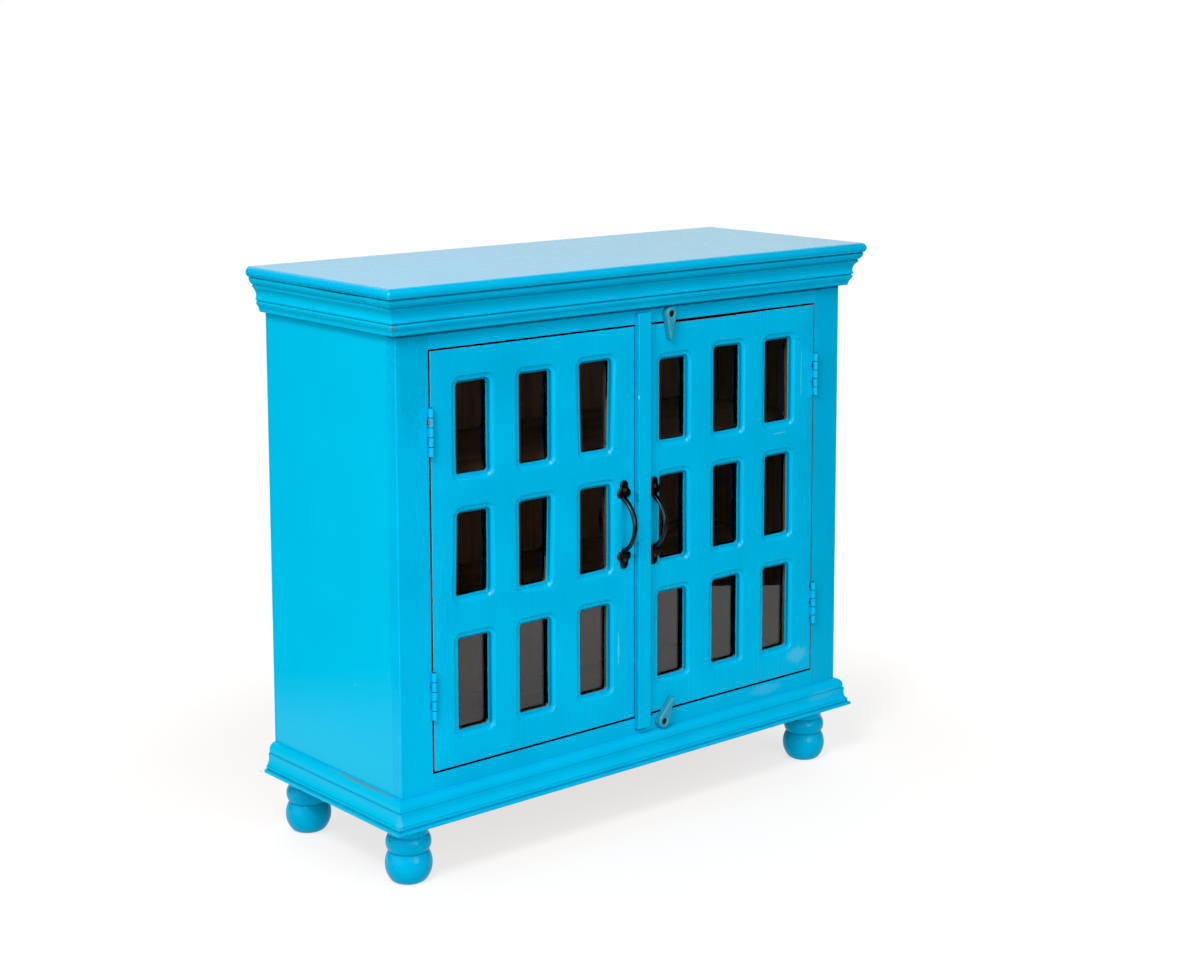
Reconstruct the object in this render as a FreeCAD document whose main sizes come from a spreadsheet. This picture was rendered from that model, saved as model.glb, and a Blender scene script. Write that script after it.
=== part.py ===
"""A two-door glazed cabinet on turned feet, as a parametric document of separate pieces.

X runs along the front, Y from the front to the back and Z up, in millimetres. Each piece is drawn
with the front face of the case at Y = 0 and the floor at Z = 0, and is then shifted along Y so that
the middle of the whole cabinet, handles included, stands on the origin.
"""
import FreeCAD, Part

import math
import os
from types import SimpleNamespace

import Sketcher

# The driving dimensions, in millimetres and degrees.
SIZES = {
    # Case
    "case_width": 945.0,
    "case_depth": 360.0,
    "case_height": 818.8,
    "foot_height": 99.0,
    "side_thickness": 18.0,
    "back_thickness": 6.0,
    "floor_thickness": 18.0,
    "floor_level": 48.0,
    "rear_rail_width": 60.0,
    "rear_rail_thickness": 18.0,
    # Face frame
    "frame_thickness": 22.0,
    "stile_width": 59.0,
    "bottom_rail_width": 75.0,
    "top_rail_width": 83.8,
    "edge_round": 1.6,
    # Top board
    "top_thickness": 17.5,
    "top_overhang": 35.0,
    "top_nose_radius": 8.4,
    "top_corner_radius": 3.0,
    # Crown and base mouldings
    "crown_height": 56.8,
    "crown_projection": 30.0,
    "base_height": 48.7,
    "base_projection": 22.3,
    # Shelves
    "shelf_pitch": 238.0,
    "shelf_thickness": 18.0,
    "shelf_setback": 45.0,
    "shelf_side_gap": 0.5,
    "cleat_section": 20.0,
    "cleat_inset": 30.0,
    # Feet and the blocks that hold them
    "foot_inset": 37.5,
    "foot_base_radius": 22.0,
    "foot_heel_round": 12.0,
    "foot_heel_radius": 29.0,
    "foot_heel_height": 4.4,
    "foot_ball_radius": 39.0,
    "foot_ball_height": 49.5,
    "foot_neck_radius": 31.0,
    "foot_ring_height": 26.5,
    "foot_ring_radius": 21.0,
    "foot_top_radius": 36.0,
    "foot_cove_radius": 26.0,
    "foot_collar_height": 4.0,
    "block_size": 80.0,
    "foot_bolt_radius": 4.0,
    "foot_bolt_grip": 40.0,
    "bolt_clearance": 0.05,
    # Doors
    "door_thickness": 22.0,
    "door_gap": 2.5,
    "meeting_gap": 2.0,
    "meeting_offset": 2.0,
    # Windows of the doors
    "window_side_offset": -3.4,
    "window_rise": 1.5,
    "window_corner_radius": 5.0,
    "cove_width": 7.5,
    "cove_depth": 3.4,
    "cove_radius": 7.0,
    "fillet_width": 3.4,
    "fillet_step": 1.0,
    "lip_depth": 1.2,
    # Glazing
    "glass_thickness": 3.0,
    "glass_margin": 14.0,
    "glass_clearance": 0.5,
    "bead_width": 9.0,
    "bead_thickness": 6.0,
    # Astragal bar on the right door
    "astragal_width": 26.8,
    "astragal_thickness": 10.5,
    "astragal_lap": 3.6,
    "astragal_rise": 21.5,
    "astragal_drop": 19.0,
    "astragal_round": 1.5,
    # Butt hinges
    "hinge_height": 75.0,
    "hinge_inset": 122.5,
    "hinge_leaf_width": 20.0,
    "hinge_leaf_thickness": 1.8,
    "knuckle_radius": 4.5,
    "knuckle_clearance": 0.3,
    "knuckle_gap": 1.2,
    "hinge_pin_radius": 2.2,
    "running_clearance": 0.05,
    "mortise_clearance": 0.1,
    # Countersunk screws of the hinges
    "hinge_screw_head_radius": 3.6,
    "hinge_screw_radius": 1.75,
    "hinge_screw_length": 22.0,
    "hinge_screw_spacing": 26.0,
    "screw_clearance": 0.05,
    # Bow handles
    "handle_spacing": 117.0,
    "handle_projection": 32.0,
    "left_handle_rise": 2.9,
    "right_handle_rise": 0.0,
    "left_handle_inset": 27.8,
    "right_handle_gap": 0.4,
    "handle_bar_radius": 3.8,
    "handle_plate_thickness": 3.2,
    "handle_plate_width": 27.0,
    "handle_lobe_radius": 7.2,
    "handle_tip_reach": 8.6,
    "handle_root_reach": 14.5,
    "handle_root_width": 12.0,
    "handle_screw_head_radius": 3.3,
    "handle_screw_head_height": 2.0,
    "handle_screw_radius": 1.75,
    "handle_screw_length": 15.0,
    # Teardrop turn buttons and their screws
    "latch_length": 54.5,
    "latch_head_radius": 11.6,
    "latch_tip_radius": 2.4,
    "latch_thickness": 11.5,
    "latch_chamfer": 1.8,
    "latch_gap": 0.4,
    "latch_drop": 1.0,
    "upper_latch_offset": 68.5,
    "lower_latch_offset": 54.0,
    "lower_latch_tilt": 29.5,
    "latch_sink_radius": 5.8,
    "latch_sink_depth": 5.0,
    "latch_screw_head_radius": 4.8,
    "latch_screw_head_height": 2.2,
    "latch_screw_radius": 2.2,
    "latch_screw_length": 24.0,
    # Nails of the back panel
    "nail_radius": 1.2,
    "nail_head_radius": 3.0,
    "nail_head_thickness": 1.0,
    "nail_length": 25.0,
    "nail_inset": 30.0,
    # How far a cutting shape runs past the face that it cuts
    "overrun": 1.0,
}

# Outlines as shares of the moulding's projection and height, from its foot up. A third number makes the
# edge to the next point an arc, with that share of the height as its radius: above zero it swells
# outwards, below zero it is hollow.
CROWN_SHARES = [
    (0.367, 0.000), (0.385, 0.035, -0.26), (0.535, 0.205), (0.535, 0.225, 0.055), (0.510, 0.320),
    (0.510, 0.345), (0.600, 0.345), (0.600, 0.405), (0.560, 0.425, -0.34), (0.800, 0.725),
    (0.800, 0.765), (0.765, 0.765), (0.765, 0.790, 0.24), (1.000, 0.965), (1.000, 1.000),
]
BASE_SHARES = [
    (0.960, 0.000), (1.000, 0.035), (1.000, 0.070, 0.075), (0.780, 0.115), (0.780, 0.130, 0.095),
    (0.800, 0.225), (0.760, 0.240, -0.42), (0.590, 0.560), (0.605, 0.600), (0.605, 0.640),
    (0.515, 0.660), (0.515, 0.755, 0.24), (0.290, 0.955), (0.070, 1.000),
]
# Windows of the doors: across as shares of half the opening, and up as shares of a door's height.
WINDOW_WIDTH_SHARE = 0.1427
COLUMN_PITCH_SHARE = 0.2943
ROW_PITCH_SHARE = 0.3064
WINDOW_HEIGHT_SHARES = {"bottom": 0.2221, "middle": 0.2122, "top": 0.2176}
# Places of the nails along the height of the back panel, as shares of the free height.
NAIL_SHARES = [0.0, 0.25, 0.5, 0.75, 1.0]

doc = FreeCAD.newDocument("cabinet")
sheet = doc.addObject("Spreadsheet::Sheet", "sizes")


class Size:
    """A length that carries both its number and the formula that gives it from the sheet's cells."""

    def __init__(self, number, formula):
        self.number = number
        self.formula = formula

    def join(self, other, sign, number):
        text = other.formula if isinstance(other, Size) else repr(other)
        return Size(number, f"({self.formula} {sign} {text})")

    def __add__(self, other):
        return self.join(other, "+", self.number + number_of(other))

    def __sub__(self, other):
        return self.join(other, "-", self.number - number_of(other))

    def __mul__(self, other):
        return self.join(other, "*", self.number * number_of(other))

    def __truediv__(self, other):
        return self.join(other, "/", self.number / number_of(other))

    def __neg__(self):
        return self * -1


def number_of(value):
    """The plain number of a Size or of a number."""
    return value.number if isinstance(value, Size) else value


def fill_sheet():
    """Write each driving dimension into a cell of its own and name the cell after it."""
    for row, (name, value) in enumerate(SIZES.items(), start=1):
        sheet.set(f"A{row}", name)
        sheet.set(f"B{row}", str(value))
        sheet.setAlias(f"B{row}", name)
    doc.recompute()


fill_sheet()
dim = SimpleNamespace(**{name: Size(value, f"sizes.{name}") for name, value in SIZES.items()})
ZERO = Size(0.0, "0")

# Places that many pieces share, worked out from the sizes.
HALF_WIDTH = dim.case_width / 2
FRONT_SHIFT = (dim.handle_projection - dim.case_depth) / 2
CASE_BOTTOM = dim.foot_height
CASE_TOP = dim.foot_height + dim.case_height
BACK_FACE = dim.case_depth - dim.back_thickness
INNER_HALF = HALF_WIDTH - dim.side_thickness
FLOOR_TOP = CASE_BOTTOM + dim.floor_level
FLOOR_UNDERSIDE = FLOOR_TOP - dim.floor_thickness
OPENING_HALF = HALF_WIDTH - dim.stile_width
OPENING_BOTTOM = CASE_BOTTOM + dim.bottom_rail_width
OPENING_TOP = CASE_TOP - dim.top_rail_width
CROWN_BOTTOM = CASE_TOP - dim.crown_height
BASE_TOP = CASE_BOTTOM + dim.base_height
DOOR_BOTTOM = OPENING_BOTTOM + dim.door_gap
DOOR_TOP = OPENING_TOP - dim.door_gap
DOOR_MIDDLE = (DOOR_BOTTOM + DOOR_TOP) / 2
DOOR_HEIGHT = DOOR_TOP - DOOR_BOTTOM
COLUMN_PITCH = OPENING_HALF * COLUMN_PITCH_SHARE
ROW_PITCH = DOOR_HEIGHT * ROW_PITCH_SHARE
ASTRAGAL_LEFT = dim.meeting_offset - dim.meeting_gap / 2 - dim.astragal_lap
ASTRAGAL_RIGHT = ASTRAGAL_LEFT + dim.astragal_width
HINGE_AXIS_X = OPENING_HALF - dim.door_gap / 2
HINGE_AXIS_Y = -(dim.knuckle_radius + dim.knuckle_clearance)
HINGE_HEIGHTS = {"upper": DOOR_TOP - dim.hinge_inset, "lower": DOOR_BOTTOM + dim.hinge_inset}
HANDLE_HEIGHTS = {"left": DOOR_MIDDLE + dim.left_handle_rise, "right": DOOR_MIDDLE + dim.right_handle_rise}
KNUCKLES = 5

# Each door's outer edge is on its hinge side; the pair meets a little right of the middle.
DOOR_SPANS = {
    "left": (-(OPENING_HALF - dim.door_gap), dim.meeting_offset - dim.meeting_gap / 2),
    "right": (dim.meeting_offset + dim.meeting_gap / 2, OPENING_HALF - dim.door_gap),
}
HANDLE_PLACES = {
    "left": DOOR_SPANS["left"][1] - dim.left_handle_inset,
    "right": ASTRAGAL_RIGHT + dim.right_handle_gap + dim.handle_plate_width / 2,
}
SIDES = {"left": -1, "right": 1}

# Turns that lay a shape's own Z axis along a direction.
TURNS = {
    "+X": FreeCAD.Rotation(FreeCAD.Vector(0, 1, 0), 90),
    "-X": FreeCAD.Rotation(FreeCAD.Vector(0, 1, 0), -90),
    "+Y": FreeCAD.Rotation(FreeCAD.Vector(1, 0, 0), -90),
    "-Y": FreeCAD.Rotation(FreeCAD.Vector(1, 0, 0), 90),
    "+Z": FreeCAD.Rotation(),
    "-Z": FreeCAD.Rotation(FreeCAD.Vector(1, 0, 0), 180),
}

pieces = []
depth_places = {}
nail_holes = {side: [] for side in SIDES}


def bind(item, settings):
    """Tie properties of an object to the sheet."""
    for name, size in settings.items():
        item.setExpression(name, size.formula)


def place(item, x, y, z):
    """Put an object at a place that follows the sheet."""
    bind(item, {"Placement.Base.x": x, "Placement.Base.y": y, "Placement.Base.z": z})
    depth_places[item.Name] = y
    return item


def piece(item, name):
    """Keep an object as a finished piece, shifted from the front face's frame to the cabinet's."""
    item.Label = name
    bind(item, {"Placement.Base.y": depth_places.get(item.Name, ZERO) + FRONT_SHIFT})
    pieces.append(item)
    return item


def box(name, x_span, y_span, z_span):
    """A block between two places on each axis."""
    item = doc.addObject("Part::Box", name)
    spans = {"Length": x_span, "Width": y_span, "Height": z_span}
    bind(item, {key: high - low for key, (low, high) in spans.items()})
    return place(item, x_span[0], y_span[0], z_span[0])


def peg(name, direction, radius, length, x, y, z):
    """A round peg from a place along a direction."""
    item = doc.addObject("Part::Cylinder", name)
    item.Placement.Rotation = TURNS[direction]
    bind(item, {"Radius": radius, "Height": length})
    return place(item, x, y, z)


def taper(name, direction, radius, far_radius, length, x, y, z):
    """A cone stump from a place along a direction."""
    item = doc.addObject("Part::Cone", name)
    item.Placement.Rotation = TURNS[direction]
    bind(item, {"Radius1": radius, "Radius2": far_radius, "Height": length})
    return place(item, x, y, z)


def along(direction, distance, x, y, z):
    """The place at a distance from another along a direction."""
    sign = 1 if direction[0] == "+" else -1
    moved = {"X": x, "Y": y, "Z": z}
    moved[direction[1]] = moved[direction[1]] + distance * sign
    return moved["X"], moved["Y"], moved["Z"]


def fuse(name, parts):
    """Parts joined into one solid."""
    item = doc.addObject("Part::MultiFuse", name)
    item.Shapes = parts
    return item


def group(name, parts):
    """Separate solids that share one node."""
    item = doc.addObject("Part::Compound", name)
    item.Links = parts
    return item


def cut(name, base, tools):
    """A solid with one or more shapes taken out of it."""
    item = doc.addObject("Part::Cut", name)
    item.Base = base
    item.Tool = tools[0] if len(tools) == 1 else fuse(name + "_tools", tools)
    return item


def countersunk(name, direction, spot, head_radius, head_height, radius, length, grow=ZERO):
    """A countersunk screw whose head is flush with the face at spot; grow turns it into its hole."""
    head = taper(name + "_head", direction, head_radius + grow, radius + grow, head_height, *spot)
    shank_length = length + grow - head_height
    shank_spot = along(direction, head_height, *spot)
    shank = peg(name + "_shank", direction, radius + grow, shank_length, *shank_spot)
    return fuse(name, [head, shank])


def new_body(name):
    """An empty body."""
    return doc.addObject("PartDesign::Body", name)


def origin_part(body, role):
    """One of a body's own origin planes or axes."""
    return next(item for item in body.Origin.OriginFeatures if item.Role == role)


def new_sketch(body, name, role, offset=None):
    """A sketch on one of the body's origin planes, or a distance along the plane's normal from it."""
    sketch = body.newObject("Sketcher::SketchObject", name)
    sketch.AttachmentSupport = [(origin_part(body, role), "")]
    sketch.MapMode = "FlatFace"
    if offset is not None:
        bind(sketch, {"AttachmentOffset.Base.z": offset})
    return sketch


def arc_between(start, end, radius, swells):
    """The short arc from start to end, whose middle is left of the way when it swells, else right."""
    middle = (start + end) / 2
    way = end - start
    left = FreeCAD.Vector(-way.y, way.x, 0).normalize()
    height = math.sqrt(max(radius ** 2 - (way.Length / 2) ** 2, 0))
    centre = middle + left * (height if swells else -height)
    first, last = (start, end) if swells else (end, start)
    angles = [math.atan2(spot.y - centre.y, spot.x - centre.x) for spot in (first, last)]
    circle = Part.Circle(centre, FreeCAD.Vector(0, 0, 1), radius)
    return Part.ArcOfCircle(circle, angles[0], angles[1])


def pin_point(sketch, edge, end, x, y):
    """Hold one end of an edge at a place that follows the sheet."""
    for kind, axis, size in (("DistanceX", -2, x), ("DistanceY", -1, y)):
        if size is ZERO:
            sketch.addConstraint(Sketcher.Constraint("PointOnObject", edge, end, axis))
        else:
            row = sketch.addConstraint(Sketcher.Constraint(kind, -1, 1, edge, end, size.number))
            sketch.setExpression(f"Constraints[{row}]", size.formula)


def draw(sketch, points):
    """A closed outline, drawn anticlockwise through points (x, y) or (x, y, radius, swells).

    A point with a radius starts an arc to the next point; the others start straight lines.
    """
    spots = [FreeCAD.Vector(point[0].number, point[1].number, 0) for point in points]
    ends = []
    for index, point in enumerate(points):
        start, end = spots[index], spots[(index + 1) % len(points)]
        if len(point) == 2:
            sketch.addGeometry(Part.LineSegment(start, end), False)
            ends.append((1, 2))
        else:
            radius, swells = point[2:]
            sketch.addGeometry(arc_between(start, end, radius.number, swells), False)
            ends.append((1, 2) if swells else (2, 1))
    for index in range(len(points)):
        after = (index + 1) % len(points)
        joint = Sketcher.Constraint("Coincident", index, ends[index][1], after, ends[after][0])
        sketch.addConstraint(joint)
    for index, point in enumerate(points):
        if len(point) > 2:
            row = sketch.addConstraint(Sketcher.Constraint("Radius", index, point[2].number))
            sketch.setExpression(f"Constraints[{row}]", point[2].formula)
        pin_point(sketch, index, ends[index][0], point[0], point[1])
    doc.recompute()
    return sketch


def rectangle(low_x, high_x, low_y, high_y):
    """The corners of a rectangle, anticlockwise."""
    return [(low_x, low_y), (high_x, low_y), (high_x, high_y), (low_x, high_y)]


def rounded_rectangle(low_x, high_x, low_y, high_y, radius):
    """The outline of a rectangle with round corners, anticlockwise from its lower left."""
    return [
        (low_x + radius, low_y), (high_x - radius, low_y, radius, True),
        (high_x, low_y + radius), (high_x, high_y - radius, radius, True),
        (high_x - radius, high_y), (low_x + radius, high_y, radius, True),
        (low_x, high_y - radius), (low_x, low_y + radius, radius, True),
    ]


def feature(body, kind, name, profile, length=None, reverse=False):
    """A sketch-based feature of a body."""
    item = body.newObject("PartDesign::" + kind, name)
    item.Profile = profile
    item.Reversed = reverse
    if length is not None:
        bind(item, {"Length": length})
    return item


def edges_where(item, test):
    """Names of the edges whose middle passes a test."""
    doc.recompute()
    names = []
    for index, edge in enumerate(item.Shape.Edges, start=1):
        if test(edge.BoundBox.Center, edge.BoundBox):
            names.append(f"Edge{index}")
    return names


def ease(body, name, item, radius, test, kind="Fillet"):
    """Round or chamfer the edges of a body's last feature that pass a test."""
    rounding = body.newObject("PartDesign::" + kind, name)
    rounding.Base = (item, edges_where(item, test))
    bind(rounding, {"Radius" if kind == "Fillet" else "Size": radius})
    return rounding


def board(name, x_span, y_span, z_span, radius, test):
    """A board between two places on each axis, with the edges that pass the test rounded."""
    body = new_body(name + "_body")
    face = new_sketch(body, name + "_outline", "XZ_Plane", -y_span[0])
    sketch = draw(face, rectangle(*x_span, *z_span))
    pad = feature(body, "Pad", name + "_pad", sketch, y_span[1] - y_span[0], reverse=True)
    ease(body, name + "_round", pad, radius, test)
    return body


def near(number, size):
    """Whether a measured number is at a size."""
    return abs(number - number_of(size)) < number_of(dim.running_clearance)


def make_case():
    """Side panels, floor, back, rear rail, shelves and their cleats."""
    inner = (-INNER_HALF, INNER_HALF)
    between_frame_and_back = (dim.frame_thickness, BACK_FACE)
    full_height = (CASE_BOTTOM, CASE_TOP)
    for side, sign in SIDES.items():
        outer, inside = HALF_WIDTH * sign, INNER_HALF * sign
        span = (outer, inside) if sign < 0 else (inside, outer)
        panel = box(side + "_side_board", span, between_frame_and_back, full_height)
        piece(cut(side + "_side_drilled", panel, nail_holes[side]), side + "_side_panel")
    floor = box("floor_board", inner, between_frame_and_back, (FLOOR_UNDERSIDE, FLOOR_TOP))
    piece(floor, "floor_panel")
    rail_front = BACK_FACE - dim.rear_rail_thickness
    rail_heights = (CASE_TOP - dim.rear_rail_width, CASE_TOP)
    rear_rail = box("rear_rail", inner, (rail_front, BACK_FACE), rail_heights)
    piece(rear_rail, "rear_top_rail")
    back = box("back_board", (-HALF_WIDTH, HALF_WIDTH), (BACK_FACE, dim.case_depth), full_height)
    piece(cut("back_drilled", back, nail_holes["left"] + nail_holes["right"]), "back_panel")

    shelf_half = INNER_HALF - dim.shelf_side_gap
    for step, level in ((1, "lower"), (2, "upper")):
        top = FLOOR_TOP + dim.shelf_pitch * step
        underside = top - dim.shelf_thickness
        shelf_depth = (dim.shelf_setback, BACK_FACE)
        shelf = board(level + "_shelf", (-shelf_half, shelf_half), shelf_depth, (underside, top),
                      dim.edge_round,
                      lambda centre, bounds: near(centre.y, dim.shelf_setback) and near(bounds.YLength, 0))
        piece(shelf, level + "_shelf")
        cleat_depth = (dim.shelf_setback + dim.cleat_inset, BACK_FACE - dim.cleat_inset)
        for side, sign in SIDES.items():
            ends = [INNER_HALF * sign, (INNER_HALF - dim.cleat_section) * sign]
            span = sorted(ends, key=number_of)
            heights = (underside - dim.cleat_section, underside)
            cleat = box(f"{level}_{side}_cleat", span, cleat_depth, heights)
            piece(cleat, f"{level}_shelf_cleat_{side}")


def nail_places(side):
    """Where the back panel's nails enter on one side: a row down the side panel's rear edge."""
    x = (HALF_WIDTH - dim.side_thickness / 2) * SIDES[side]
    free = dim.case_height - dim.nail_inset * 2
    return [(x, dim.case_depth, CASE_BOTTOM + dim.nail_inset + free * share) for share in NAIL_SHARES]


def nail(name, spot, grow=ZERO):
    """A flat-headed nail driven forward from the back face; grow turns it into its hole."""
    head = peg(name + "_head", "-Y", dim.nail_head_radius + grow, dim.nail_head_thickness + grow, *spot)
    shank = peg(name + "_shank", "-Y", dim.nail_radius + grow, dim.nail_length + grow, *spot)
    return fuse(name, [head, shank])


def make_back_nails():
    """The nails of the back panel, and the holes that they need."""
    nails = []
    for side in SIDES:
        for index, spot in enumerate(nail_places(side)):
            nails.append(nail(f"{side}_nail_{index}", spot))
            hole = nail(f"{side}_nail_hole_{index}", spot, dim.screw_clearance)
            nail_holes[side].append(hole)
    piece(group("back_nail_group", nails), "back_panel_nails")


def make_face_frame():
    """Two stiles with hinge mortises and two rails that carry the turn buttons."""
    depth = (ZERO, dim.frame_thickness)
    for side, sign in SIDES.items():
        ends = sorted([HALF_WIDTH * sign, OPENING_HALF * sign], key=number_of)
        outer_edge = HALF_WIDTH * sign
        stile = board(side + "_stile", ends, depth, (CASE_BOTTOM, CASE_TOP), dim.edge_round,
                      lambda centre, bounds: near(centre.x, outer_edge) and near(bounds.YMax, 0)
                      and not near(bounds.ZLength, 0))
        tools = []
        for level in HINGE_HEIGHTS:
            tools.append(mortise(side, level, OPENING_HALF, 1))
            tools += hinge_screws(side, level, "frame", dim.screw_clearance)
        piece(cut(side + "_stile_cut", stile, tools), side + "_front_stile")
    rail_span = (-OPENING_HALF, OPENING_HALF)
    for level, heights in (("top", (OPENING_TOP, CASE_TOP)), ("bottom", (CASE_BOTTOM, OPENING_BOTTOM))):
        rail = box(level + "_rail", rail_span, depth, heights)
        latch = "upper" if level == "top" else "lower"
        hole = latch_screw(latch + "_latch_hole", latch, dim.screw_clearance)
        piece(cut(level + "_rail_drilled", rail, [hole]), level + "_front_rail")


def make_top_board():
    """The top board, with its nose rounded on the front and both ends."""
    reach = HALF_WIDTH + dim.top_overhang
    body = new_body("top_board_body")
    sketch = draw(new_sketch(body, "top_board_outline", "XY_Plane", CASE_TOP),
                  rectangle(-reach, reach, -dim.top_overhang, dim.case_depth))
    pad = feature(body, "Pad", "top_board_pad", sketch, dim.top_thickness)
    corners = ease(body, "top_board_corners", pad, dim.top_corner_radius,
                   lambda centre, bounds: not near(bounds.ZLength, 0) and near(centre.y, -dim.top_overhang))
    ease(body, "top_board_nose", corners, dim.top_nose_radius,
         lambda centre, bounds: near(bounds.ZLength, 0) and not near(centre.y, dim.case_depth))
    piece(body, "top_board")


def moulding_points(shares, projection, height, bottom, outward):
    """The closed outline of a moulding's section; outward turns a projection to the sketch's x."""
    points = []
    for share in shares:
        x, y = outward(projection * share[0]), bottom + height * share[1]
        if len(share) == 2:
            points.append((x, y))
        else:
            points.append((x, y, height * abs(share[2]), share[2] > 0))
    return [(outward(ZERO), bottom), *points, (outward(ZERO), bottom + height)]


def reversed_outline(points):
    """The same outline the other way round, for a section whose outward side is mirrored."""
    count = len(points)
    turned = []
    for index in range(count):
        point = points[-1 - index]
        before = points[(-2 - index) % count]
        turned.append((*point[:2], *before[2:]))
    return turned


def make_moulding(name, shares, projection, height, bottom):
    """Front, left and right lengths of one moulding, mitred where they meet at the front corners."""
    reach = HALF_WIDTH + projection
    past = projection + dim.overrun

    front = new_body(name + "_front_body")
    outline = reversed_outline(moulding_points(shares, projection, height, bottom, lambda p: -p))
    section = draw(new_sketch(front, name + "_front_section", "YZ_Plane", -reach), outline)
    feature(front, "Pad", name + "_front_pad", section, reach * 2)
    for side, sign in SIDES.items():
        corner = HALF_WIDTH * sign
        triangle = [(corner, ZERO), (corner + past * sign, -past), (corner + past * sign, ZERO)]
        triangle = triangle if sign < 0 else reversed_outline(triangle)
        mitre = draw(new_sketch(front, f"{name}_front_{side}_mitre", "XY_Plane", bottom), triangle)
        feature(front, "Pocket", f"{name}_front_{side}_cut", mitre, height, reverse=True)
    piece(front, f"{name}_moulding_front")

    for side, sign in SIDES.items():
        body = new_body(f"{name}_{side}_body")
        outline = moulding_points(shares, projection, height, bottom, lambda p: (HALF_WIDTH + p) * sign)
        outline = outline if sign > 0 else reversed_outline(outline)
        section = draw(new_sketch(body, f"{name}_{side}_section", "XZ_Plane", projection), outline)
        feature(body, "Pad", f"{name}_{side}_pad", section, dim.case_depth + projection, reverse=True)
        corner = HALF_WIDTH * sign
        triangle = [(corner, ZERO), (corner, -past), (corner + past * sign, -past)]
        triangle = triangle if sign > 0 else reversed_outline(triangle)
        mitre = draw(new_sketch(body, f"{name}_{side}_mitre", "XY_Plane", bottom), triangle)
        feature(body, "Pocket", f"{name}_{side}_cut", mitre, height, reverse=True)
        piece(body, f"{name}_moulding_{side}")


def foot_outline():
    """Half the section of a turned foot, with the blind hole for its bolt, about the sketch's y axis."""
    ball_top = dim.foot_ball_height
    ring_top = ball_top + dim.foot_ring_height
    collar = dim.foot_height - dim.foot_collar_height
    hole = dim.foot_bolt_radius + dim.bolt_clearance
    hole_end = dim.foot_height - dim.foot_bolt_grip - dim.bolt_clearance
    return [
        (ZERO, ZERO), (dim.foot_base_radius, ZERO, dim.foot_heel_round, True),
        (dim.foot_heel_radius, dim.foot_heel_height, dim.foot_ball_radius, True),
        (dim.foot_neck_radius, ball_top, dim.foot_ring_radius, True),
        (dim.foot_neck_radius, ring_top, dim.foot_cove_radius, False),
        (dim.foot_top_radius, collar), (dim.foot_top_radius, dim.foot_height),
        (hole, dim.foot_height), (hole, hole_end), (ZERO, hole_end),
    ]


def make_feet():
    """Four turned feet, the blocks that they are bolted to and the bolts."""
    bolts = []
    bolt_low = CASE_BOTTOM - dim.foot_bolt_grip
    for row in ("front", "rear"):
        front = row == "front"
        y = dim.foot_inset if front else dim.case_depth - dim.foot_inset
        block_front = dim.frame_thickness if front else BACK_FACE - dim.block_size
        for side, sign in SIDES.items():
            name = f"{row}_{side}"
            x = (HALF_WIDTH - dim.foot_inset) * sign
            body = new_body(name + "_foot_body")
            sketch = draw(new_sketch(body, name + "_foot_outline", "XZ_Plane"), foot_outline())
            turned = body.newObject("PartDesign::Revolution", name + "_foot_turned")
            turned.Profile = sketch
            turned.ReferenceAxis = (sketch, ["V_Axis"])
            piece(place(body, x, y, ZERO), name + "_foot")

            ends = sorted([INNER_HALF * sign, (INNER_HALF - dim.block_size) * sign], key=number_of)
            block = box(name + "_block", ends, (block_front, block_front + dim.block_size),
                        (CASE_BOTTOM, FLOOR_UNDERSIDE))
            bolt_length = FLOOR_UNDERSIDE - bolt_low
            hole_radius = dim.foot_bolt_radius + dim.bolt_clearance
            hole = peg(name + "_bolt_hole", "+Z", hole_radius, bolt_length, x, y, bolt_low)
            piece(cut(name + "_block_drilled", block, [hole]), name + "_corner_block")
            bolts.append(peg(name + "_bolt", "+Z", dim.foot_bolt_radius, bolt_length, x, y, bolt_low))
    piece(group("foot_bolt_group", bolts), "foot_bolts")


def hinge_side(side, level):
    """Which leaf of a hinge has the odd knuckles: the right door's upper hinge hangs the other way up."""
    return "door" if (side, level) == ("right", "upper") else "frame"


def mortise(side, level, edge, into):
    """The shallow seat of a hinge leaf in an edge; into is 1 for the stile and -1 for the door."""
    sign = SIDES[side]
    deep = edge + dim.hinge_leaf_thickness * into
    past = edge - dim.overrun * into
    span = sorted([deep * sign, past * sign], key=number_of)
    half = dim.hinge_height / 2 + dim.mortise_clearance
    middle = HINGE_HEIGHTS[level]
    depth = (-dim.overrun, dim.hinge_leaf_width + dim.mortise_clearance)
    owner = "stile" if into > 0 else "door"
    return box(f"{side}_{level}_{owner}_mortise", span, depth, (middle - half, middle + half))


def hinge_screws(side, level, leaf, grow=ZERO):
    """The three screws of one leaf, or their holes."""
    sign = SIDES[side]
    edge = OPENING_HALF if leaf == "frame" else OPENING_HALF - dim.door_gap
    outward = sign if leaf == "frame" else -sign
    direction = "+X" if outward > 0 else "-X"
    kind = "screw" if grow is ZERO else "hole"
    screws = []
    for step in (-1, 0, 1):
        height = HINGE_HEIGHTS[level] + dim.hinge_screw_spacing * step
        spot = (edge * sign, dim.hinge_leaf_width / 2, height)
        name = f"{side}_{level}_{leaf}_{kind}_{step + 1}"
        screws.append(countersunk(name, direction, spot, dim.hinge_screw_head_radius,
                                  dim.hinge_leaf_thickness, dim.hinge_screw_radius,
                                  dim.hinge_screw_length, grow))
    return screws


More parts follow.
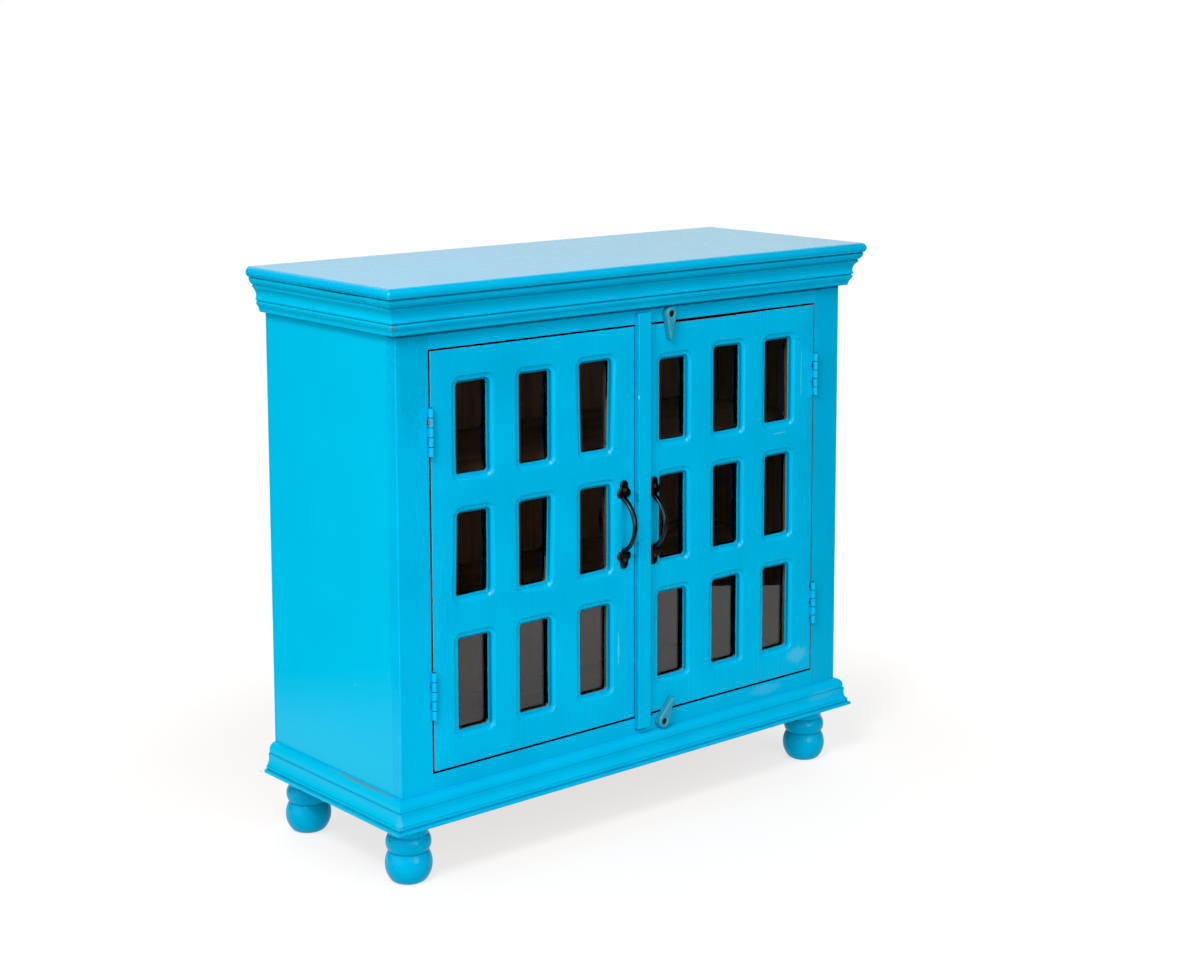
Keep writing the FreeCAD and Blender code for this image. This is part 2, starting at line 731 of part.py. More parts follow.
def make_hinge_leaf(side, level, leaf):
    """One leaf of a butt hinge with its knuckles, bored for the pin and drilled for its screws."""
    sign = SIDES[side]
    name = f"{side}_{level}_hinge_{leaf}_leaf"
    low = HINGE_HEIGHTS[level] - dim.hinge_height / 2
    knuckle = dim.hinge_height / KNUCKLES
    axis = (HINGE_AXIS_X * sign, HINGE_AXIS_Y)
    edge = OPENING_HALF if leaf == "frame" else OPENING_HALF - dim.door_gap
    into = 1 if leaf == "frame" else -1
    span = sorted([edge * sign, (edge + dim.hinge_leaf_thickness * into) * sign], key=number_of)
    plate_front = dim.knuckle_clearance
    parts = [box(name + "_plate", span, (plate_front, dim.hinge_leaf_width), (low, low + dim.hinge_height))]
    first = 0 if hinge_side(side, level) == leaf else 1
    for index in range(first, KNUCKLES, 2):
        bottom = low + knuckle * index + dim.knuckle_gap / 2
        height = knuckle - dim.knuckle_gap
        parts.append(peg(f"{name}_knuckle_{index}", "+Z", dim.knuckle_radius, height, *axis, bottom))
        tongue = box(f"{name}_tongue_{index}", span, (HINGE_AXIS_Y, plate_front), (bottom, bottom + height))
        parts.append(tongue)
    bore_radius = dim.hinge_pin_radius + dim.running_clearance
    bore = peg(name + "_bore", "+Z", bore_radius, dim.hinge_height, *axis, low)
    holes = hinge_screws(side, level, leaf, dim.screw_clearance)
    return piece(cut(name + "_drilled", fuse(name + "_joined", parts), [bore, *holes]), name)


def make_hinges():
    """Leaves, pins and screws of the four butt hinges."""
    pins = []
    frame_screws = []
    for side, sign in SIDES.items():
        door_screws = []
        for level, middle in HINGE_HEIGHTS.items():
            for leaf in ("frame", "door"):
                make_hinge_leaf(side, level, leaf)
            low = middle - dim.hinge_height / 2
            pins.append(peg(f"{side}_{level}_pin", "+Z", dim.hinge_pin_radius, dim.hinge_height,
                            HINGE_AXIS_X * sign, HINGE_AXIS_Y, low))
            frame_screws += hinge_screws(side, level, "frame")
            door_screws += hinge_screws(side, level, "door")
        piece(group(side + "_door_screw_group", door_screws), side + "_door_hinge_screws")
    piece(group("hinge_pin_group", pins), "hinge_pins")
    piece(group("frame_screw_group", frame_screws), "frame_hinge_screws")


def window_rows(side):
    """Each row of windows: its name and the spans of its first window along the door and up it."""
    low_x, high_x = DOOR_SPANS[side]
    first_x = (low_x + high_x) / 2 + dim.window_side_offset - COLUMN_PITCH
    half_width = OPENING_HALF * WINDOW_WIDTH_SHARE / 2
    x_span = (first_x - half_width, first_x + half_width)
    rows = []
    for step, (row, share) in enumerate(WINDOW_HEIGHT_SHARES.items(), start=-1):
        middle = DOOR_MIDDLE + dim.window_rise + ROW_PITCH * step
        half_height = DOOR_HEIGHT * share / 2
        rows.append((row, x_span, (middle - half_height, middle + half_height)))
    return rows


def routed_section(edge_x):
    """Section of the routed edge left of a window: a lip, a hollow and a narrow flat, open to the front."""
    fillet = edge_x - dim.fillet_width
    outer = fillet - dim.cove_width
    inside = edge_x + dim.overrun
    cove_low = dim.lip_depth + dim.cove_depth
    floor = cove_low + dim.fillet_step
    return [
        (outer, -dim.overrun), (inside, -dim.overrun), (inside, floor), (fillet, floor),
        (fillet, cove_low, dim.cove_radius, False), (outer, dim.lip_depth),
    ]


def make_door_panel(side):
    """One board with three rows of three windows, each routed round its front, rebated behind for glass."""
    name = side + "_door"
    low_x, high_x = DOOR_SPANS[side]
    body = new_body(name + "_body")
    outline = rectangle(low_x, high_x, DOOR_BOTTOM, DOOR_TOP)
    face = draw(new_sketch(body, name + "_face", "XZ_Plane"), outline)
    pad = feature(body, "Pad", name + "_pad", face, dim.door_thickness, reverse=True)
    ease(body, name + "_round", pad, dim.edge_round, lambda centre, bounds: near(bounds.YMax, 0))
    for row, x_span, z_span in window_rows(side):
        label = f"{name}_{row}"
        opening = rounded_rectangle(*x_span, *z_span, dim.window_corner_radius)
        hole = draw(new_sketch(body, label + "_window", "XZ_Plane"), opening)
        pocket = feature(body, "Pocket", label + "_hole", hole)
        pocket.Type = "ThroughAll"
        path = draw(new_sketch(body, label + "_path", "XZ_Plane"), opening)
        middle = (z_span[0] + z_span[1]) / 2
        section = draw(new_sketch(body, label + "_section", "XY_Plane", middle), routed_section(x_span[0]))
        routed = body.newObject("PartDesign::SubtractivePipe", label + "_routed")
        routed.Profile = section
        routed.Spine = path
        doc.recompute()
        columns = body.newObject("PartDesign::LinearPattern", label + "_columns")
        columns.Originals = [pocket, routed]
        columns.Direction = (origin_part(body, "X_Axis"), [""])
        columns.Occurrences = 3
        bind(columns, {"Length": COLUMN_PITCH * 2})
        body.Tip = columns
        doc.recompute()
    tools = [box(name + "_rebate", *glass_seat(side, ZERO))]
    for level in HINGE_HEIGHTS:
        tools.append(mortise(side, level, OPENING_HALF - dim.door_gap, -1))
        tools += hinge_screws(side, level, "door", dim.screw_clearance)
    tools += handle_screws(side, dim.screw_clearance)
    piece(cut(name + "_cut", body, tools), name + "_panel")


def glass_seat(side, gap):
    """Spans of the rebate that holds the glass and, flush behind it, its beads; a gap is taken off its edges."""
    rows = window_rows(side)
    first_low, first_high = rows[0][1]
    margin = dim.glass_margin - gap
    x_span = (first_low - margin, first_high + COLUMN_PITCH * 2 + margin)
    z_span = (rows[0][2][0] - margin, rows[-1][2][1] + margin)
    back = dim.door_thickness
    y_span = (back - dim.glass_thickness - dim.bead_thickness, back)
    return x_span, y_span, z_span


def make_glazing(side):
    """The glass of one door and the four beads that hold it in its rebate, butted at the corners."""
    x_span, y_span, z_span = glass_seat(side, dim.glass_clearance)
    glass_back = y_span[0] + dim.glass_thickness
    piece(box(side + "_glass", x_span, (y_span[0], glass_back), z_span), side + "_door_glass")
    x_span, y_span, z_span = glass_seat(side, ZERO)
    wide = dim.bead_width
    depth = (glass_back, y_span[1])
    beads = []
    for index, span in enumerate(((x_span[0], x_span[0] + wide), (x_span[1] - wide, x_span[1]))):
        beads.append(box(f"{side}_upright_bead_{index}", span, depth, z_span))
    between = (x_span[0] + wide, x_span[1] - wide)
    for index, span in enumerate(((z_span[0], z_span[0] + wide), (z_span[1] - wide, z_span[1]))):
        beads.append(box(f"{side}_level_bead_{index}", between, depth, span))
    piece(group(side + "_bead_group", beads), side + "_glazing_beads")


def make_astragal():
    """The bar on the right door, which laps over the left door and runs onto both rails."""
    z_span = (DOOR_BOTTOM - dim.astragal_drop, DOOR_TOP + dim.astragal_rise)
    bar = board("astragal", (ASTRAGAL_LEFT, ASTRAGAL_RIGHT), (-dim.astragal_thickness, ZERO), z_span,
                dim.astragal_round, lambda centre, bounds: near(bounds.YMax, -dim.astragal_thickness))
    piece(bar, "astragal")


def handle_screws(side, grow=ZERO):
    """The two screws of a handle, through its plates into the door, or their holes."""
    kind = "screw" if grow is ZERO else "hole"
    screws = []
    for index, step in enumerate((-1, 1)):
        z = HANDLE_HEIGHTS[side] + dim.handle_spacing / 2 * step
        spot = (HANDLE_PLACES[side], -dim.handle_plate_thickness, z)
        screws.append(countersunk(f"{side}_handle_{kind}_{index}", "+Y", spot, dim.handle_screw_head_radius,
                                  dim.handle_screw_head_height, dim.handle_screw_radius,
                                  dim.handle_screw_length, grow))
    return screws


def make_handle(side):
    """A bow handle: two trefoil plates joined by a round bar, part of a ring that stands off the door."""
    name = side + "_handle"
    x = HANDLE_PLACES[side]
    middle = HANDLE_HEIGHTS[side]
    thickness = dim.handle_plate_thickness
    lobe = dim.handle_lobe_radius
    side_reach = dim.handle_plate_width / 2 - lobe
    half = dim.handle_spacing / 2
    parts = []
    for index, step in enumerate((-1, 1)):
        z = middle + half * step
        for lobe_name, across, up in (("left", -side_reach, ZERO), ("right", side_reach, ZERO),
                                      ("tip", ZERO, dim.handle_tip_reach * step)):
            spot = (x + across, ZERO, z + up)
            parts.append(peg(f"{name}_{lobe_name}_{index}", "-Y", lobe, thickness, *spot))
        inner = z - dim.handle_root_reach * step
        root_half = dim.handle_root_width / 2
        ends = sorted([z, inner], key=number_of)
        parts.append(box(f"{name}_root_{index}", (x - root_half, x + root_half), (-thickness, ZERO), ends))
    bar = dim.handle_bar_radius
    bow_reach = dim.handle_projection - bar
    bow_half = half - dim.handle_root_reach
    ring_radius = (bow_half * bow_half + bow_reach * bow_reach) / (bow_reach * 2)
    ring = doc.addObject("Part::Torus", name + "_ring")
    ring.Placement.Rotation = TURNS["+X"]
    bind(ring, {"Radius1": ring_radius, "Radius2": bar})
    place(ring, x, ring_radius - bow_reach, middle)
    room = box(name + "_room", (x - dim.handle_plate_width, x + dim.handle_plate_width),
               (-(dim.handle_projection + dim.overrun), ZERO), (middle - half, middle + half))
    bow = doc.addObject("Part::Common", name + "_bow")
    bow.Base = ring
    bow.Tool = room
    solid = fuse(name + "_cast", parts + [bow])
    piece(cut(name + "_drilled", solid, handle_screws(side, dim.screw_clearance)), name)
    piece(group(name + "_screw_group", handle_screws(side)), name + "_screws")


def latch_place(level):
    """Where a turn button's screw enters its rail, on the button's back."""
    if level == "upper":
        return dim.upper_latch_offset, (OPENING_TOP + CROWN_BOTTOM) / 2 - dim.latch_drop
    return dim.lower_latch_offset, (OPENING_BOTTOM + BASE_TOP) / 2 - dim.latch_drop


def latch_screw(name, level, grow=ZERO):
    """The screw that a button turns on, its head in the button's counterbore, or its hole in the rail."""
    x, z = latch_place(level)
    head_seat = -(dim.latch_gap + dim.latch_thickness - dim.latch_sink_depth)
    head_radius = dim.latch_screw_head_radius + grow
    head = peg(name + "_head", "-Y", head_radius, dim.latch_screw_head_height, x, head_seat, z)
    length = dim.latch_screw_length + grow
    shank = peg(name + "_shank", "+Y", dim.latch_screw_radius + grow, length, x, head_seat, z)
    return fuse(name, [head, shank])


def make_latch(level):
    """A teardrop turn button with chamfered edges and a counterbore, drawn hanging straight down."""
    name = level + "_latch"
    head = dim.latch_head_radius
    tip = dim.latch_tip_radius
    reach = dim.latch_length - head - tip
    body = new_body(name + "_body")
    sketch = new_sketch(body, name + "_outline", "XZ_Plane", dim.latch_gap)
    lean = math.asin((head.number - tip.number) / reach.number)
    across, along_way = math.cos(lean), math.sin(lean)
    spots = {
        "head right": FreeCAD.Vector(head.number * across, -head.number * along_way, 0),
        "head left": FreeCAD.Vector(-head.number * across, -head.number * along_way, 0),
        "tip right": FreeCAD.Vector(tip.number * across, -reach.number - tip.number * along_way, 0),
        "tip left": FreeCAD.Vector(-tip.number * across, -reach.number - tip.number * along_way, 0),
    }
    up = FreeCAD.Vector(0, 0, 1)
    head_circle = Part.Circle(FreeCAD.Vector(0, 0, 0), up, head.number)
    tip_circle = Part.Circle(FreeCAD.Vector(0, -reach.number, 0), up, tip.number)
    sketch.addGeometry(Part.ArcOfCircle(head_circle, -lean, math.pi + lean), False)
    sketch.addGeometry(Part.LineSegment(spots["head left"], spots["tip left"]), False)
    sketch.addGeometry(Part.ArcOfCircle(tip_circle, math.pi + lean, 2 * math.pi - lean), False)
    sketch.addGeometry(Part.LineSegment(spots["tip right"], spots["head right"]), False)
    for edge in range(4):
        sketch.addConstraint(Sketcher.Constraint("Tangent", edge, 2, (edge + 1) % 4, 1))
    sketch.addConstraint(Sketcher.Constraint("Coincident", 0, 3, -1, 1))
    sketch.addConstraint(Sketcher.Constraint("PointOnObject", 2, 3, -2))
    for kind, edge, size in (("Radius", 0, head), ("Radius", 2, tip)):
        row = sketch.addConstraint(Sketcher.Constraint(kind, edge, size.number))
        sketch.setExpression(f"Constraints[{row}]", size.formula)
    row = sketch.addConstraint(Sketcher.Constraint("DistanceY", 2, 3, -1, 1, reach.number))
    sketch.setExpression(f"Constraints[{row}]", reach.formula)
    pad = feature(body, "Pad", name + "_pad", sketch, dim.latch_thickness)
    front = -(dim.latch_gap + dim.latch_thickness)
    ease(body, name + "_bevel", pad, dim.latch_chamfer,
         lambda centre, bounds: near(bounds.YMax, front), "Chamfer")

    sink_depth = dim.latch_sink_depth + dim.overrun
    sink = peg(name + "_sink", "+Y", dim.latch_sink_radius, sink_depth, ZERO, front - dim.overrun, ZERO)
    hole_radius = dim.latch_screw_radius + dim.running_clearance
    hole = peg(name + "_pivot", "+Y", hole_radius, dim.latch_thickness + dim.overrun * 2, ZERO,
               front - dim.overrun, ZERO)
    button = cut(name + "_drilled", body, [sink, hole])
    x, z = latch_place(level)
    if level == "lower":
        turn = 180 + SIZES["lower_latch_tilt"]
        button.Placement.Rotation = FreeCAD.Rotation(FreeCAD.Vector(0, 1, 0), turn)
        button.setExpression("Placement.Rotation.Angle", f"180 + {dim.lower_latch_tilt.formula}")
    piece(place(button, x, ZERO, z), name)


def make_latches():
    """Both turn buttons and their screws."""
    for level in ("upper", "lower"):
        make_latch(level)
    screws = [latch_screw(level + "_latch_screw", level) for level in ("upper", "lower")]
    piece(group("latch_screw_group", screws), "latch_screws")


def check_document():
    """Stop if any object failed to build or any piece is not a sound solid."""
    doc.recompute()
    failed = [item.Name for item in doc.Objects if {"Invalid", "Error"} & set(item.State)]
    if failed:
        raise RuntimeError("objects that failed: " + ", ".join(failed))
    for item in pieces:
        if item.Shape.isNull() or not item.Shape.isValid() or not item.Shape.Solids:
            raise RuntimeError(f"{item.Label} is not a sound solid")


def write_pieces():
    """Write each piece to a file named after it."""
    os.makedirs("parts", exist_ok=True)
    for item in pieces:
        item.Shape.exportStep(f"parts/{item.Label}.step")


make_back_nails()
make_case()
make_face_frame()
make_top_board()
make_moulding("crown", CROWN_SHARES, dim.crown_projection, dim.crown_height, CROWN_BOTTOM)
make_moulding("base", BASE_SHARES, dim.base_projection, dim.base_height, CASE_BOTTOM)
make_feet()
make_hinges()
for door_side in SIDES:
    make_door_panel(door_side)
    make_glazing(door_side)
    make_handle(door_side)
make_astragal()
make_latches()
check_document()
write_pieces()
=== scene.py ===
import math

import bmesh
import bpy
import numpy as np
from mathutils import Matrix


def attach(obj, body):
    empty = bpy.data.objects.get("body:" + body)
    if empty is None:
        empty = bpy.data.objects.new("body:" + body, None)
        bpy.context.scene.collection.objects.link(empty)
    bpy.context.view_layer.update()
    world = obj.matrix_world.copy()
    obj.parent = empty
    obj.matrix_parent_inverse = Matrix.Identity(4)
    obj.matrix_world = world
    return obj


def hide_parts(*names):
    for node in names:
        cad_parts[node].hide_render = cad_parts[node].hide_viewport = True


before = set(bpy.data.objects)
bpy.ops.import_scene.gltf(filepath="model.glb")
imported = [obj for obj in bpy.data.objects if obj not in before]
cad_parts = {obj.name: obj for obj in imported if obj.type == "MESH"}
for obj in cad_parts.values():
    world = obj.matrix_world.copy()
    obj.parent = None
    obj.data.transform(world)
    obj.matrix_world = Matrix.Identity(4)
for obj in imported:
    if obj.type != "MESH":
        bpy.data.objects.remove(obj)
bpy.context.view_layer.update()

bl_info = {
    "name": "Painted Glazed Cabinet",
    "version": (1, 0, 0),
    "blender": (4, 5, 0),
    "location": "View3D > Sidebar > Cabinet",
    "description": "Dresses a two-door glazed cabinet on turned feet in its paint, wood, glass and iron",
    "category": "Object",
}

MM = 0.001

# Depth of the cabinet's front face, in millimetres along Y
FRONT = -164.0

# Doors, in millimetres: how far they span up and each spans across, and how far behind their face their back
# and their glass lie
DOOR_BOTTOM, DOOR_TOP = 177.0, 831.0
DOOR_SPANS = {"left": (-409.6, 1.0), "right": (3.0, 411.0)}
DOOR_THICKNESS, GLASS_DEPTH = 22.0, 13.0
# Steps round the roll of the doors' front edges
EDGE_STEPS = 4
# Mortises of the hinge leaves: their floor, across from the cabinet's middle, how far back they run, the
# heights of each by its row of windows, and the points on the edge below and above each
MORTISE_FLOOR, MORTISE_REACH = 409.2, 20.1
MORTISES = {0: (261.4, 336.6), 2: (671.4, 746.6)}
MORTISE_ENDS = 5
# The right door's top edge is planed down: the height where that begins, and its depth at places across
PLANED_FROM = 790.0
PLANED_PLACES, PLANED_DEPTHS = (3, 27, 120, 190, 330, 411), (0, 0.2, 1.8, 1.8, 0.3, 0)
# Edges of the glass rebate in the back of each door, across and up
REBATES = {"left": (-373.6, -43.2), "right": (38.4, 368.8)}
REBATE_HEIGHTS = (218.1, 791.5)
# Rows and columns of windows in a door, and the lines between them, where the cells round the windows meet
CELLS = 3
COLUMN_LINES = {"left": (-269.2, -147.5), "right": (142.8, 264.5)}
ROW_LINES = (406.7, 604.9)

# Hand-cut windows from the bottom row up, each left to right: the left edge at top and bottom, the right
# edge at top and bottom, then the top and the bottom edge.
WINDOWS = {
    "left": [
        [(-359.4, -359.4, -300.4, -300.4, 376.5, 231.4), (-238.7, -238.7, -179.7, -179.7, 376.8, 232.1),
         (-115.2, -115.2, -57.0, -57.0, 376.7, 234.7)],
        [(-358.7, -361.7, -300.2, -301.2, 574.0, 444.6), (-238.0, -238.0, -179.2, -183.2, 574.8, 438.6),
         (-114.4, -114.4, -56.0, -56.6, 575.5, 436.4)],
        [(-359.1, -359.1, -300.1, -300.1, 777.2, 634.8), (-237.0, -237.0, -178.3, -178.3, 777.5, 635.1),
         (-115.5, -111.6, -52.6, -56.6, 780.9, 636.1)],
    ],
    "right": [
        [(52.1, 52.1, 111.2, 111.2, 377.0, 233.5), (176.2, 176.2, 235.3, 235.3, 377.5, 232.5),
         (297.0, 297.0, 354.2, 354.2, 377.5, 230.5)],
        [(55.5, 55.5, 111.6, 111.6, 575.0, 434.9), (178.0, 178.0, 235.6, 235.6, 574.7, 435.1),
         (299.5, 299.5, 353.6, 353.6, 574.7, 434.5)],
        [(55.4, 55.4, 112.4, 112.4, 770.4, 635.1), (177.4, 177.4, 236.5, 236.5, 778.3, 633.3),
         (298.0, 298.0, 355.5, 355.5, 777.4, 634.0)],
    ],
}

# Points along each side of a window's loops: an arc at each corner and a run between
CORNER_STEPS, RUN_STEPS = 8, 8
SIDE_STEPS = CORNER_STEPS + RUN_STEPS
# Waver of a window's hand-cut edge: height in millimetres, waves round the loop and share of its phase, and
# the share of the waver that goes each way, across and up
WAVES = ((0.28, 3, 1.0), (0.18, 7, 2.3))
WAVER_SHARE = 0.7
# The phase differs by this much from row to row and from column to column, and each door has its own start
PHASE_UP, PHASE_ACROSS, PHASE_STARTS = 1.7, 2.9, {"left": 0.0, "right": 0.8}

# The routed ring: the drop at its step, how deep its hollow sags and in how many steps, and the painted shade
# and grime at each point of its section
RING_STEP, RING_SAG, HOLLOW_STEPS = 2.4, 0.7, 8
RING_SHADE_AND_GRIME = {2: 0.2, 3: 0.4, 4: 0.3, 12: 0.4, 13: 0.65, 14: 0.7, 15: 0.9, 16: 0.9, 17: 0.7, 18: 0.4}
# Its arrises, as distance out and depth from the corners that they round: of the face, the step, the window
FACE_ARRIS = ((1.2, 0.0), (0.5, 0.04), (0.15, 0.2), (0.0, 0.5))
STEP_ARRIS = ((0.0, -0.25), (-0.25, 0.0))
WINDOW_ARRIS = ((0.9, 0.0), (0.35, 0.06), (0.08, 0.3), (0.0, 0.8), (0.0, 3.0))
# Painted shade and grime start this far inside a window's edge and are full after this run, and the bottom
# holds a share
SHADE_AND_GRIME_INSIDE, SHADE_AND_GRIME_RUN, SHADE_AND_GRIME_BELOW = 3.0, 5.0, 0.2
# The painted highlight, a pale dot that stands for a lamp's glint in the ring's hollow: its place right of a
# window's lower right corner and below it, its radius, the height from which windows have one, and how much
# of the pale colour shows
HIGHLIGHT_RIGHT, HIGHLIGHT_BELOW, HIGHLIGHT_RADIUS, HIGHLIGHT_FROM, HIGHLIGHT_STRENGTH = 1.5, 5.2, 1.7, 300.0, 0.36

# Middle of each handle across and up, and how far each plate's screw is from it
HANDLES = {"left": (-26.8, 506.9), "right": (38.1, 504.0)}
HANDLE_SCREWS = 58.5
# Steps round the handles' plates, and round their bows and screws
PLATE_STEPS, ROUND_STEPS = 96, 24
# A plate's circles: the place of each from the screw, across and towards the plate's point, and its radius
PLATE_LOBES = ((0.0, 7.6, 8.0), (-6.9, -6.4, 7.5), (6.9, -6.4, 7.5), (0.0, -8.6, 8.2), (0.0, 0.0, 9.3))
# A plate's section from the middle of its back round its rim to the middle of its face: the share of the
# way to the rim, and the height off the door
PLATE_SHARES = (0.0, 0.5, 0.97, 1.0, 1.0, 0.97, 0.9, 0.75, 0.5, 0.25, 0.0)
PLATE_HEIGHTS = (0.0, 0.0, 0.0, 0.3, 1.5, 2.3, 2.8, 3.0, 2.9, 2.7, 2.7)
# A handle screw's section from the middle of its head to its end: its radius, and the height off the door
SCREW_RADII = (0.0, 1.1, 1.5, 2.2, 2.9, 3.3, 3.4, 3.4, 1.75, 1.75, 0.0)
SCREW_HEIGHTS = (2.4, 2.4, 3.3, 3.75, 3.8, 3.6, 3.3, 2.4, 1.0, -11.8, -11.8)
# A bow: half its span, the steps along it, and how much it swells at its roots, by a power of the way to them
BOW_HALF, BOW_STEPS, BOW_SWELL, SWELL_POWER = 44.0, 64, 0.35, 5

# Pivot of each turn button across and up, and the turn of its tip from straight down, in degrees
TURN_BUTTONS = {"upper": (68.5, 846.5, 0.0), "lower": (54.0, 159.85, 150.5)}
# A button's tip and hole, as radii, the gap behind it, and the steps round its head, round its tip and along
# each flank
BUTTON_TIP, BUTTON_HOLE, BUTTON_GAP = 2.4, 2.3, 0.4
HEAD_STEPS, TIP_STEPS, FLANK_STEPS = 40, 12, 8
# Its chamfer behind, where its side ends below the face, its bevel as distance in from the rim and drop from
# the face, and its screw's seat as radius and drop
BUTTON_CHAMFER, BUTTON_SHOULDER = 0.3, 2.2
BUTTON_BEVEL = ((0.12, 1.75), (0.6, 1.1), (1.2, 0.4), (1.55, 0.1), (2.1, 0.0))
BUTTON_SEAT = ((6.6, 0.0), (6.0, 0.15), (5.75, 0.6), (5.7, 5.2), (BUTTON_HOLE, 5.2))

# Axis along which the grain of a piece runs
GRAINS = {"across": 0, "deep": 1, "upright": 2}

# How much a noise breaks up the rim of a mark of use, and the distances where the mark ends and is full
RIM_BREAKUP, RIM_OUTSIDE, RIM_INSIDE = 1.1, 1.55, 1.0

# Pale walls of the studio: the way to each, the cosines where its glow starts and is full, and its strength
ROOM_WALLS = [((0.62, 0.75, 0.2), 0.45, 0.95, 1.25), ((-1.0, 0.0, 0.1), 0.5, 1.0, 1.75),
              ((-0.15, -0.87, 0.47), 0.7, 1.0, 1.8), ((0.64, -0.76, 0.0), 0.8, 1.0, 0.165)]
# Strength of the room between the walls
ROOM_DIM = 0.02
# Place and size of each lamp in metres, and the point that both face
LAMPS = {"high_lamp": ((-2.6, -1.6, 3.2), 1.2), "fill_light": ((-0.2, -2.9, 1.0), 1.4)}
LAMP_AIM = (0.0, 0.0, 0.5)
# The camera's place in metres, its turn in degrees, its shift, and its sensor's width in millimetres
CAMERA_PLACE, CAMERA_TURN = (-2.2960, -2.7956, 1.3277), (82.202, 0.0, -40.959)
CAMERA_SHIFT, SENSOR_WIDTH = (-0.02551, -0.13747), 36.0
# The floor in metres: its front, rear and left edges, its right edge at places from front to rear, and its
# rows and columns of points
FLOOR_FRONT, FLOOR_REAR, FLOOR_LEFT = -1.213, 1.3, -1.1
FLOOR_PLACES, FLOOR_RIGHT = (FLOOR_FRONT, -1.195, -1.07, -0.6), (1.05, 1.165, 1.234, 1.6)
FLOOR_ROWS, FLOOR_COLUMNS = 17, 19
# Heights of the floor and of the bounce sheet, and the bounce's missing rear left corner: where it starts
# from front to rear, and how far it reaches across
FLOOR_LEVEL, BOUNCE_LEVEL = -0.0002, -0.0004
CORNER_FROM, CORNER_CUT = 0.42, 0.68
# How much paler the floor's pale patches are, how far from its middle its glow starts to grow and is full,
# and how strong the glow is there
FLOOR_MOTTLE = 1.04
GLOW_PLACES, GLOW_STRENGTHS = (0.6, 1.4), (0.685, 0.88)
# How much brighter the bounce is on the left, and where across it changes
BOUNCE_LEFT, BOUNCE_PLACES = 1.45, (-0.6, -0.4)


def linear(code):
    """Linear red, green and blue of an sRGB hex colour."""
    shares = np.array([int(code[i:i + 2], 16) for i in (0, 2, 4)]) / 255.0
    return tuple(np.where(shares <= 0.04045, shares / 12.92, ((shares + 0.055) / 1.055) ** 2.4).tolist())


def colour_property(name, description, code):
    """A colour that a user can change, given as an sRGB hex value."""
    return bpy.props.FloatVectorProperty(name=name, description=description, subtype="COLOR", size=3,
                                         min=0.0, max=1.0, default=linear(code))


def length_property(name, description, millimetres):
    """A length that a user can change, given in millimetres and kept in metres."""
    return bpy.props.FloatProperty(name=name, description=description, subtype="DISTANCE", unit="LENGTH",
                                   min=0.0, default=millimetres * MM, precision=4)


class CabinetColours(bpy.types.PropertyGroup):
    """Colours of the cabinet's finishes."""
    paint: colour_property("Paint", "Satin paint of the case and doors", "00AEDB")
    paint_deep: colour_property("Thick Paint", "Paint where brush strokes leave it thicker", "00A4D1")
    scuff: colour_property("Scuff", "Paint rubbed pale", "58B8DC")
    # Painted light: a lighter, greener paint laid on the sides for the warmer light from the left
    side_light_paint: colour_property("Side Light Paint", "Paint of the sides, a little greener", "00B5D8")
    worn: colour_property("Worn Edge", "Wood that shows where the paint has gone", "7A5A48")
    stain: colour_property("Stain", "Stained wood inside the case", "6B4A36")
    stain_dark: colour_property("Dark Grain", "Grain lines of the stained wood", "362419")
    # Painted shade and grime: grime in the rings, and the dark colour laid as painted shade under the crown,
    # along moulding steps and grooves, down one side of parts and over the feet
    shade_and_grime: colour_property("Shade and Grime", "Grime in the corners of the routed rings", "005878")
    # Primer on the meeting bar, and the pale colour of the painted highlights in the rings' corners
    primer_and_highlight: colour_property("Primer and Highlight", "White primer where the paint is chipped", "D8EEF6")
    edge: colour_property("Sawn Edge", "Dusty sawn wood inside the windows", "755438")
    edge_dark: colour_property("Sawn Edge Grain", "Grain lines of the sawn edges", "4A3424")
    # Dirt, and painted shadow in the hinges' knuckle gaps, a notch in the bottom rail and the gap under the
    # top's nose
    dirt_and_shadow: colour_property("Dirt and Shadow", "Dark dirt in joints and notches", "17110E")
    # Also laid deep in the doors' hinge edges as painted shade in the gaps
    reveal: colour_property("Window Edge", "Dark wood inside the windows", "2C2421")
    reveal_dark: colour_property("Window Edge Grain", "Grain lines inside the windows", "120D0B")
    worn_wood: colour_property("Reddish Wood", "Wood of the doors' sawn edges", "BC6430")
    worn_wood_dark: colour_property("Reddish Grain", "Grain lines of the doors' edges", "602C16")
    bare: colour_property("Bare Wood", "Wood that was never painted", "C08A55")
    bare_dark: colour_property("Bare Grain", "Grain lines of the bare wood", "8A5830")
    glass: colour_property("Glass", "Faint tint of the sheet glass", "F7FAF9")
    iron: colour_property("Iron", "Black cast iron of the handles", "0A0A0B")
    iron_worn: colour_property("Rubbed Iron", "Iron where hands have rubbed it", "2A2626")
    button: colour_property("Turn Button", "Painted metal of the turn buttons", "2C8AA2")
    button_worn: colour_property("Rubbed Button", "Turn button where the paint is thin", "86B3BC")
    steel: colour_property("Steel", "Screws, pins and bolts", "4A4540")
    rust: colour_property("Rust", "Rust on the fixings", "5A3A26")


